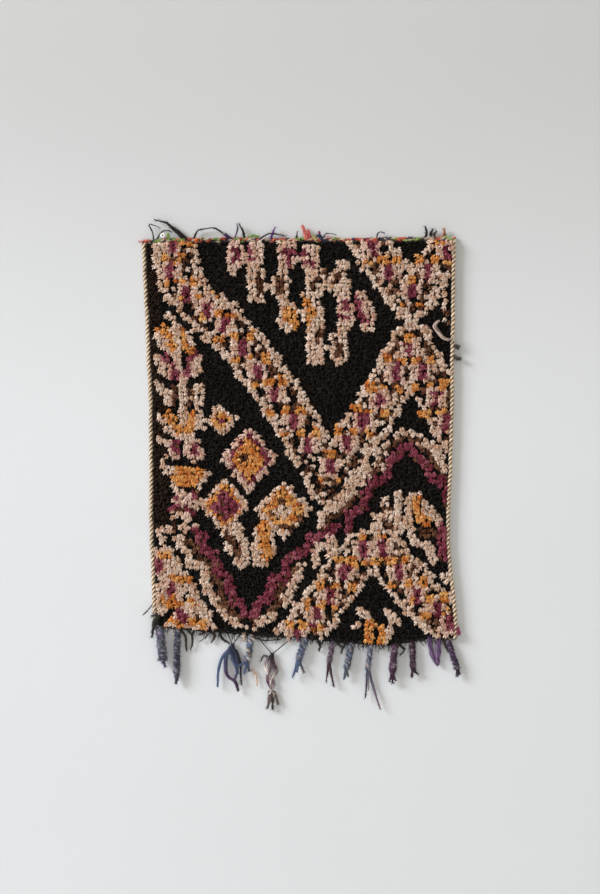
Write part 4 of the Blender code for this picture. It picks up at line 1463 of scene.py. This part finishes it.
@dataclass
class Fringe:
    """The tassels under the hem, the strip of warp ends that they are knotted to, and its loose yarns."""

    outline: Outline
    strip_height: float = 4.0
    strip_depth: float = 2.4
    tassels: tuple[Tassel, ...] = (
        Tassel(-265, (-257, -801), 16.5, (("#3d2752", "#5b6172", "#5e5a80"),
               ("#4d3663", "#636d78", "#5c3c7c"), ("#2f2440", "#5a6472", "#4d5a78")),
               ((-10, 2, "#7d8288"), (4, -12, "#5b3878"), (-1, -6, "#4e5b76"))),
        Tassel(-230, (-232, -832), 13, (("#4b566b", "#3b3550", "#474c66"), ("#3a2d44", "#4b5068", "#2f2840"),
               ("#5a6478", "#463c55", "#3a3750")), ((-1, -14, "#33304a"), (2, -8, "#4a4c66")), 26.0),
        Tassel(-90, (-98, -806), 13, (("#33364a", "#46557a", "#40588a"), ("#c9bbab", "#8b93a4", "#4a5f8c"),
               ("#232230", "#cbb9a6", "#5a3a5c")),
               ((-22, -6, "#3d5c94"), (-6, -20, "#44608f"), (4, -16, "#4a3658"))),
        Tassel(13, (-1, -800), 13, (("#55406a", "#5a6684", "#4a679c"), ("#4d5878", "#8d8782", "#46639a"),
               ("#3b3f56", "#6a7690", "#41598c")),
               ((-11, -34, "#41609a"), (-3, -24, "#4b5f86"), (11, -24, "#5e3440"))),
        Tassel(64, (57, -806), 9.5, (("#5b3450", "#8a7286", "#4c2338"), ("#7a5a78", "#5f3f5c", "#6a4258"),
               ("#3b2540", "#6f6a80", "#421f36")), ((-6, -38, "#4f2740"), (9, -46, "#4a1f3d"))),
        Tassel(100, (90, -818), 12, (("#3a577f", "#46607f", "#566579"), ("#4a6a96", "#6c625d", "#5a6a80"),
               ("#2f4263", "#7a6f68", "#4a5a74")), ((-5, -20, "#4e5f7a"), (3, -14, "#6a645f"))),
        Tassel(137, (130, -818), 9.5, (("#5d6a90", "#7d7390", "#2d3c66"), ("#8a809c", "#6f7f98", "#35406a"),
               ("#4a4870", "#8f8a9c", "#b5a39c")),
               ((-4, -54, "#3a3358"), (2, -40, "#b3a096"), (24, -76, "#8b6a7c")), 40.0),
        Tassel(182, (177, -826), 13.5, (("#51244a", "#5b2c54", "#4b2045"), ("#6d3f66", "#4f2248", "#5d2d56"),
               ("#3d1a38", "#5a2f52", "#451d40")),
               ((-6, -16, "#54264e"), (1, -19, "#4a2044"), (6, -14, "#5c2f56")), 18.0),
        Tassel(215, (216, -818), 11.5, (("#2f1829", "#3d1f34", "#47213d"), ("#4a2740", "#33192b", "#3b1b30"),
               ("#26131f", "#41213a", "#3a1c32")), ((-2, -16, "#3d1d33"), (10, -10, "#4b2740")), 16.0),
        Tassel(282, (300, -818), 11.5, (("#241a30", "#54306a", "#33203f"), ("#3f2750", "#4a2a5c", "#2a1a34"),
               ("#2c1d38", "#5c3670", "#3a2348")), ((0, -14, "#3a2348"), (5, -10, "#2f1f38")), 22.0),
    )  # fmt: skip
    hung: tuple[HungTassel, ...] = (
        HungTassel((-137, -110), (-126, -772), 9, "#222c44", (
            (6.5, ("#2b3a5c", "#3b5c92", "#3f6698"),
             ((-130, -778), (-146, -797), (-153, -824), (-154, -852))),
            (10.0, ("#232d48", "#33466e", "#2e3f66"),
             ((-127, -774), (-126, -792), (-120, -812), (-117, -828))),
            (8.5, ("#2b3856", "#3c4f7c", "#4a2a5c", "#5a2f68", "#482352"),
             ((-129, -776), (-137, -794), (-139, -814), (-134, -832), (-121, -842), (-115, -860))),
            (7.0, ("#27304c", "#364a76", "#4a2f66"),
             ((-125, -778), (-118, -800), (-117, -822), (-122, -838))),
            (5.5, ("#16171c", "#2c2838", "#1c1a20"),
             ((-120, -782), (-112, -806), (-111, -828), (-109, -848))),
        )),
        HungTassel((-82, -11), (-51, -790), 8, "#2b2726", (
            (8.0, ("#5a3a4c", "#e2d2ca", "#6d4560", "#e4d6ce"),
             ((-58, -796), (-64, -812), (-56, -830), (-48, -848), (-56, -866))),
            (8.0, ("#35222e", "#5c3a50", "#d8c8c0", "#5a3450"),
             ((-54, -792), (-48, -810), (-45, -826), (-54, -842), (-50, -864))),
            (7.0, ("#3b2833", "#8a6a7c", "#6a3a5a", "#d9c8c0"),
             ((-50, -794), (-54, -816), (-60, -836), (-54, -852), (-46, -868))),
            (7.5, ("#57443a", "#8a746a", "#3a2d28"), ((-55, -860), (-56, -876), (-60, -893))),
            (7.5, ("#6a564c", "#4a3a34", "#3a2d28"), ((-51, -860), (-50, -878), (-50, -895))),
            (5.0, ("#7d6a62", "#4a3a36"), ((-48, -860), (-43, -874), (-39, -886))),
            (4.0, ("#c9b8ae", "#8a6a7c"), ((-48, -806), (-41, -816), (-43, -828))),
            (3.2, ("#3a2c28", "#5d4a44"), ((-60, -794), (-68, -794), (-72, -804))),
        )),
    )  # fmt: skip
    # Columns: width, shades, then points as (across, height).
    yarns: tuple[tuple[float, tuple[str, ...], Points], ...] = (
        (4.6, ("#3d2a20", "#4b3527"), ((-226, -742), (-216, -756), (-214, -772), (-213, -784))),
        (4.2, ("#33241c", "#4a3529"), ((-214, -742), (-204, -752), (-202, -768), (-207, -782))),
        (4.5, ("#c9ab90", "#d9bda0"), ((-232, -742), (-236, -750), (-238, -758))),
        (2.2, ("#77716a", "#55504a"), ((-169, -748), (-176, -757), (-188, -766))),
        (6.0, ("#3a2a20", "#544030"), ((-166, -744), (-160, -756), (-166, -768))),
        (5.0, ("#2b2019", "#6a5340"), ((-176, -744), (-184, -752), (-190, -752))),
        (5.0, ("#17140f", "#211c19"), ((-152, -742), (-146, -760), (-132, -770))),
        (5.5, ("#2a2320", "#201c1a"), ((-100, -752), (-92, -766), (-98, -774))),
        (7.0, ("#d8b9a0", "#c9a68e"), ((-104, -748), (-104, -758), (-107, -765))),
        (3.2, ("#2c211b", "#43342a"), ((-92, -756), (-66, -764), (-40, -762), (-22, -756))),
        (3.2, ("#3a2a22", "#4a3a2f"), ((-86, -752), (-62, -757), (-36, -756), (-14, -750))),
        (7.0, ("#d9b398", "#cfa488"), ((-22, -752), (-20, -760), (-20, -766))),
        (7.0, ("#8b2f55", "#a34470"), ((-12, -746), (-4, -756), (-2, -766))),
        (5.0, ("#e8c6b0", "#e3bda6"), ((-88, -818), (-82, -832), (-80, -850))),
        (4.2, ("#2b201a", "#3f3027"), ((36, -764), (40, -776), (38, -784))),
        (4.2, ("#31251e", "#46362b"), ((72, -768), (82, -776), (88, -770))),
        (4.2, ("#3b2c23", "#2b201a"), ((92, -768), (84, -778), (80, -788))),
        (3.6, ("#151311", "#1d1a18"), ((190, -772), (200, -782), (192, -792))),
        (9.5, ("#4f2d62", "#744a84", "#5e3a70"), ((248, -752), (250, -776), (255, -796), (263, -812))),
        (9.5, ("#583368", "#7e5490", "#663f78"), ((265, -752), (265, -780), (263, -800), (264, -810))),
        (5.5, ("#4a3a31", "#3a2c25"), ((276, -760), (278, -774), (284, -786))),
        (6.0, ("#d8bca6", "#c8a892"), ((284, -756), (286, -766), (284, -776))),
    )  # fmt: skip
    strays: int = 260
    strands: int = 4
    twist_pitch: float = 15.0
    turnover: float = 4.5
    pale_share: float = 0.14

    def strip_middle(self, x: float | Array) -> Array:
        """The height of the strip of warp ends."""
        return self.outline.hem(np.asarray(x)) + self.outline.hem_room - 0.35 - self.strip_height / 2

    def twist(self, draw: np.random.Generator, tassel: Tassel) -> list[TubeSet]:
        """Twist a tassel's three yarns round its middle line, and let its tails part from its foot."""
        foot, foot_z = tassel.foot
        depth = tassel.width / 2 + 0.8
        top = (tassel.root, -self.strip_depth - 2.0, float(self.strip_middle(tassel.root)))
        bend = (0.55 * tassel.root + 0.45 * foot, -depth, 0.55 * top[2] + 0.45 * foot_z)
        middle = smooth_path(np.array((top, bend, (foot, -depth, foot_z))), 36)
        share = np.linspace(0, 1, len(middle))
        swell = np.interp(share, (0, 0.12, 0.5, 0.9, 1), (0.72, 0.95, tassel.waist, 1.05, 0.85))
        made: list[TubeSet] = []
        for number, shades in enumerate(tassel.shades):
            path = helix(middle, 0.25 * tassel.width * swell, tassel.pitch, 2 * np.pi * number / 3)
            path[:, 1] = np.minimum(path[:, 1], -0.34 * tassel.width)
            colours = dye_along(shades, share)
            made.append(ply(path, 0.42 * tassel.width * swell, 0.7 * colours, 6))
            for strand in range(self.strands):
                phase = 2 * np.pi * strand / self.strands
                thin = helix(path, 0.17 * tassel.width * swell, self.twist_pitch, phase)
                thin[:, 1] = np.minimum(thin[:, 1], -0.20 * tassel.width)
                turned = np.abs((self.turnover * share + draw.uniform(0, 2)) % 2 - 1)
                mottle = 1 + 0.35 * np.sin(share * draw.uniform(14, 26) + draw.uniform(0, 6.3))
                pale = 0.55 * (draw.uniform(0, 1, share.shape) < self.pale_share)[:, None]
                tone = dye_along(shades, turned) * (draw.uniform(0.6, 1.35) * mottle)[:, None]
                tone = (1 - pale) * tone + pale * dye_of("#b4a8ac")
                lumps = 1 + 0.32 * np.sin(share * draw.uniform(16, 34) + phase)
                made.append(ply(thin, 0.29 * tassel.width * swell * lumps, tone, 5))
            made.append(fuzz(draw, path, 0.66 * tassel.width, colours, 90, 5.0))
        for across, down, shade in tassel.tails:
            reach = min(0.55 * tassel.width, 6.0)
            points = ((foot, foot_z + 8, depth), (foot + 0.4 * across, foot_z + 0.4 * down, depth + 0.5),
                      (foot + across, foot_z + down, depth + 1.5))  # fmt: skip
            made.extend(lock(draw, points, reach, 0.45 * reach, (tassel.shades[0][-1], shade), 7))
        return made

    def hang(self, draw: np.random.Generator, tassel: HungTassel) -> list[TubeSet]:
        """Hang a tassel from its two threads, with a yarn wrapped round its head."""
        knot_x, knot_z = tassel.knot
        depth = tassel.width / 2 + 0.8
        made: list[TubeSet] = []
        for root in tassel.roots:
            top = (root, -self.strip_depth, float(self.strip_middle(root)))
            thread = smooth_path(np.array((top, (knot_x, -depth, knot_z))), 12)
            made.append(ply(thread, 1.9, dye_of("#221d1d")))
        core = np.linspace((knot_x, -depth, knot_z + 2), (knot_x, -depth, knot_z - 9), 44)
        made.append(ply(core, 0.7 * tassel.width, dye_of(tassel.wrap), 8))
        made.append(ply(helix(core, 0.34 * tassel.width, 2.6, 0), 2.6, dye_of(tassel.wrap)))
        for width, shades, points in tassel.locks:
            placed = [(x, z, depth + 0.4 * number) for number, (x, z) in enumerate(points)]
            made.extend(lock(draw, placed, width, 0.5 * width, shades, 7))
        return made

    def hem_hairs(self, draw: np.random.Generator) -> TubeSet:
        """Short dark ends of warp and pile that stick out under the hem."""
        low, high = -270.0, 286.0
        x = draw.uniform(low, high, self.strays)
        z = self.strip_middle(x) + draw.uniform(-2, 3, self.strays)
        length = draw.uniform(7, 17, self.strays)
        lean = draw.normal(0, 0.75, self.strays)
        curl = draw.normal(0, 0.6, self.strays)
        root = np.stack([x, np.full_like(x, -3.5), z], -1)
        first = np.stack([np.sin(lean), np.full_like(x, -0.25), -np.cos(lean)], -1) * length[:, None] / 3
        turned = lean + curl
        last = np.stack([np.sin(turned), np.full_like(x, -0.1), -np.cos(turned)], -1) * length[:, None] / 3
        bend, tip = root + first + 0.5 * (first + last), root + 1.5 * (first + last)
        paths = np.stack([root, root + first, bend, tip], 1)
        radii = draw.uniform(0.5, 1.1, (self.strays, 1)) * np.array([1.0, 1.0, 0.8, 0.35])
        table = np.array([dye_of(shade) for shade in ("#1b1614", "#2b201a", "#3f2e23", "#141211")])
        tone = table[draw.integers(0, len(table), self.strays)]
        references = unit(draw.normal(0, 1, (self.strays, 3)))
        return TubeSet(paths, radii, references, 3, {"dye": np.repeat(tone[:, None], 4, axis=1)})

    def build(self) -> bpy.types.Object:
        """Make the strip, the tassels, the tassels on threads and the loose yarns."""
        draw = np.random.default_rng(9)
        low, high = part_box("fringe")
        x = np.linspace(low.x / MM + 3, high.x / MM - 20, 240)
        z = self.strip_middle(x) + 0.5 * np.sin(x / 2.1)
        strip = np.stack([x, np.full_like(x, -self.strip_depth), z], -1)
        sets: list[TubeSet] = [ply(strip, self.strip_height, dye_of("#2b211c")), self.hem_hairs(draw)]
        for tassel in self.tassels:
            sets.extend(self.twist(draw, tassel))
        for hung in self.hung:
            sets.extend(self.hang(draw, hung))
        for width, shades, points in self.yarns:
            placed = [(across, height, self.strip_depth + 1.5) for across, height in points]
            sets.extend(lock(draw, placed, width, 0.7 * width, shades, 5))
        piece = join_tubes("fringe_yarns", sets)
        piece.data.materials.append(YarnFinish("Tassel wool", 0.7, 0.4, 0.12, 0.74, 0.82).material())
        return piece


@dataclass
class Pin:
    """The white-headed pin at the top left."""

    place: tuple[float, float] = (-258.0, 4.0)
    head: float = 9.5
    front: float = -11.5
    thickness: float = 2.4
    shank: float = 1.6
    turns: int = 48
    dust_mm: float = 1.1111

    def build(self) -> bpy.types.Object:
        """Turn the profile round the pin's axis: each row's radius and depth, at even angles."""
        r, f, b = self.head / 2, self.front, self.front + self.thickness
        profile = np.array(
            [(0.02, f + 0.9), (0.30 * r, f + 0.85), (0.40 * r, f + 0.30), (0.50 * r, f), (0.72 * r, f + 0.1),
             (0.90 * r, f + 0.5), (r, f + 1.2), (0.98 * r, b - 0.2), (0.90 * r, b), (self.shank / 2, b),
             (self.shank / 2, -0.3), (0.02, 0.0)]
        )  # fmt: skip
        angle = 2 * np.pi * np.arange(self.turns) / self.turns
        places = np.stack(
            [
                self.place[0] + profile[:, None, 0] * np.cos(angle),
                profile[:, None, 1] + 0 * angle,
                self.place[1] + profile[:, None, 0] * np.sin(angle),
            ],
            -1,
        )
        rings = len(profile)
        index = np.arange(rings * self.turns).reshape(rings, self.turns)
        after = np.roll(index, -1, axis=1)
        quads = np.stack([index[:-1], index[1:], after[1:], after[:-1]], -1).reshape(-1, 4)
        fan = np.arange(1, self.turns - 1)
        front = np.stack([np.full_like(fan, index[0, 0]), index[0, fan], index[0, fan + 1]], -1)
        rear = np.stack([np.full_like(fan, index[-1, 0]), index[-1, fan + 1], index[-1, fan]], -1)
        white = np.broadcast_to(dye_of("#e9e8e4"), (rings * self.turns, 3)).copy()
        white[: 2 * self.turns] = dye_of("#6f7472")
        white[9 * self.turns :] = dye_of("#9a9c9c")
        tris = np.concatenate([front, rear])
        piece = write_mesh("pin_head", places.reshape(-1, 3), quads, tris, {"dye": white})
        piece.data.materials.append(self.plastic())
        return piece

    def plastic(self) -> bpy.types.Material:
        """Moulded white plastic: smooth, with a soft shine and a trace of dust."""
        made, tree, shader = new_material("Moulded white plastic")
        dye = add_node(tree, "ShaderNodeAttribute", {"attribute_name": "dye"}, {})
        tree.links.new(dye.outputs["Color"], shader.inputs["Base Color"])
        place = add_node(tree, "ShaderNodeTexCoord", {}, {})
        inputs = {"Vector": place.outputs["Object"], "Scale": 1 / (self.dust_mm * MM)}
        dust = add_node(tree, "ShaderNodeTexNoise", {}, inputs)
        spread = add_node(tree, "ShaderNodeMapRange", {}, {0: dust.outputs[0], 3: 0.28, 4: 0.5})
        tree.links.new(spread.outputs[0], shader.inputs["Roughness"])
        return made


# The studio


@dataclass(frozen=True)
class Studio:
    """A pale wall behind the rug, a pale floor, soft light from the left, and the camera straight on."""

    # The wall's colour from the rug's middle down, and above the rug, where it is painted darker: painted
    # shade.
    wall: tuple[str, str] = ("#d8dbdf", "#c4c6c7")
    floor: str = "#d2d2d0"
    mottle_mm: float = 454.545
    # In metres: half the wall's width, its top, the floor's height and front edge, and the wall's place.
    half_width: float = 6.0
    ceiling: float = 3.0
    ground: float = -1.7
    near: float = -7.0
    behind: float = 0.0015
    frame_height: float = 1.6986
    distance: float = 3.4
    aim: tuple[float, float] = (0.0019, -0.397)

    def paint(self, name: str, low: str, high: str) -> bpy.types.Material:
        """Matt paint that shows only from its front and lets light by, so that the back can be seen and lit.

        Args:
            name: the material's name.
            low: its colour from the rug's middle down.
            high: its colour above the rug; on the wall it is darker, which is painted shade.

        Returns:
            The material.
        """
        made, tree, shader = new_material(name)
        place = add_node(tree, "ShaderNodeTexCoord", {}, {})
        height = add_node(tree, "ShaderNodeSeparateXYZ", {}, {0: place.outputs["Object"]})
        smooth = {"interpolation_type": "SMOOTHSTEP"}
        # Above the rug's middle the wall is painted darker towards the top: painted shade.
        rise = add_node(tree, "ShaderNodeMapRange", smooth, {0: height.outputs[2], 1: -0.45, 2: 0.40})
        inputs = {0: rise.outputs[0], 6: linear(low), 7: linear(high)}
        shade = add_node(tree, "ShaderNodeMix", OVER, inputs).outputs[2]
        span = (0.0, 1.0, 0.975, 1.015)
        colour, _ = mottle(tree, shade, self.mottle_mm, span, Detail=3.0)
        tree.links.new(colour, shader.inputs["Base Color"])
        shader.inputs["Roughness"].default_value = 0.95
        shader.inputs["Specular IOR Level"].default_value = 0.1
        geometry = add_node(tree, "ShaderNodeNewGeometry", {}, {})
        ray = add_node(tree, "ShaderNodeLightPath", {}, {})
        either = {0: geometry.outputs["Backfacing"], 1: ray.outputs["Is Shadow Ray"]}
        unseen = add_node(tree, "ShaderNodeMath", {"operation": "MAXIMUM"}, either)
        clear = add_node(tree, "ShaderNodeBsdfTransparent", {}, {})
        both = {0: unseen.outputs[0], 1: shader.outputs[0], 2: clear.outputs[0]}
        out = add_node(tree, "ShaderNodeMixShader", {}, both)
        tree.links.new(out.outputs[0], tree.nodes["Material Output"].inputs["Surface"])
        return made

    def sheet(self, name: str, corners: Array, low: str, high: str) -> None:
        """Stage a flat surface from four corners in metres."""
        quad = np.array([[0, 1, 2, 3]])
        item = write_mesh(name, corners / MM, quad, np.empty((0, 3), int), {})
        item.data.materials.append(self.paint(name + " paint", low, high))

    def lamp(
        self, name: str, place: tuple[float, float, float], size: float, power: float, shade: str
    ) -> None:
        """Hang a square soft light, aimed at the rug's middle.

        Args:
            name: the light's name.
            place: where it hangs, in metres.
            size: the length of its side, in metres.
            power: its power in watts.
            shade: its colour.
        """
        data = bpy.data.lights.new(name, "AREA")
        data.size = size
        data.energy = power
        data.color = linear(shade)[:3]
        item = bpy.data.objects.new(name, data)
        bpy.context.scene.collection.objects.link(item)
        item.location = place
        aim = np.array([0.0, 0.0, self.aim[1]]) - np.array(place)
        yaw = math.atan2(-aim[0], aim[1])
        pitch = math.atan2(math.hypot(aim[0], aim[1]), -aim[2])
        item.rotation_euler = (pitch, 0.0, yaw)

    def build(self) -> None:
        """Set the stage, lights, sky and camera."""
        side, wall, floor = self.half_width, self.behind, self.ground
        foot = [(-side, wall, floor), (side, wall, floor)]
        top = [(side, wall, self.ceiling), (-side, wall, self.ceiling)]
        front = [(-side, self.near, floor), (side, self.near, floor)]
        self.sheet("wall", np.array(foot + top), *self.wall)
        self.sheet("floor", np.array(front + foot[::-1]), self.floor, self.floor)
        self.lamp("Window light", (-9.0, -4.6, 4.6), 4.2, 1480.0, "#f7faff")
        self.lamp("Front fill", (0.8, -5.5, 0.6), 3.5, 26.0, "#fbfcff")
        self.lamp("Rear fill", (1.2, 3.2, 0.8), 2.5, 60.0, "#ffffff")
        world = bpy.data.worlds.new("Soft sky")
        world.use_nodes = True
        sky = world.node_tree.nodes["Background"]
        sky.inputs["Color"].default_value = linear("#f8edda")
        sky.inputs["Strength"].default_value = 0.52
        scene = bpy.context.scene
        scene.world = world
        scene.view_settings.view_transform = "Standard"
        data = bpy.data.cameras.new("Camera")
        data.lens = data.sensor_width * self.distance / self.frame_height
        camera = bpy.data.objects.new("Camera", data)
        scene.collection.objects.link(camera)
        camera.location = (self.aim[0], -self.distance, self.aim[1])
        camera.rotation_euler = (math.pi / 2, 0.0, 0.0)
        scene.camera = camera


def dress(piece: bpy.types.Object, slot: str, *nodes: str) -> None:
    """Set a piece on the rug's one body, and let it stand for CAD nodes, which are hidden."""
    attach(piece, "root")
    if nodes:
        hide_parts(*nodes)
    LOG.info("%s: %d faces, for %s", piece.name, len(piece.data.polygons), ", ".join(nodes) or "no node")


def main() -> None:
    """Build the rug's visible pieces round the frame, and set the stage."""
    logging.basicConfig(level=logging.INFO, format="%(message)s")
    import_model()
    outline = Outline()
    chart = KnotChart(outline)
    Pattern().tie(chart)
    cloth = GroundCloth(chart).build()
    dress(cloth, "pile_wool", "rug_field")
    pile = Pile(chart).build()
    for piece in pile:
        dress(piece, "pile_wool")
    # The right cord's yarn is painted brighter than the left's: painted light where the pile shades it.
    left = SideCord(outline, "selvedge_left", False, 1.02, 0.4, LEFT_ENDS).build()
    right = SideCord(outline, "selvedge_right", True, 1.10, 3.0, RIGHT_ENDS).build()
    dress(left, "overcast_wool", "selvedge_left")
    dress(right, "overcast_wool", "selvedge_right")
    heading = Heading(outline).build()
    dress(heading, "heading_yarn", "head_braid")
    fringe = Fringe(outline).build()
    dress(fringe, "tassel_yarn", "fringe")
    dress(Pin().build(), "pin_plastic", "hanging_pin")
    Studio().build()


if __name__ == "__main__":
    main()
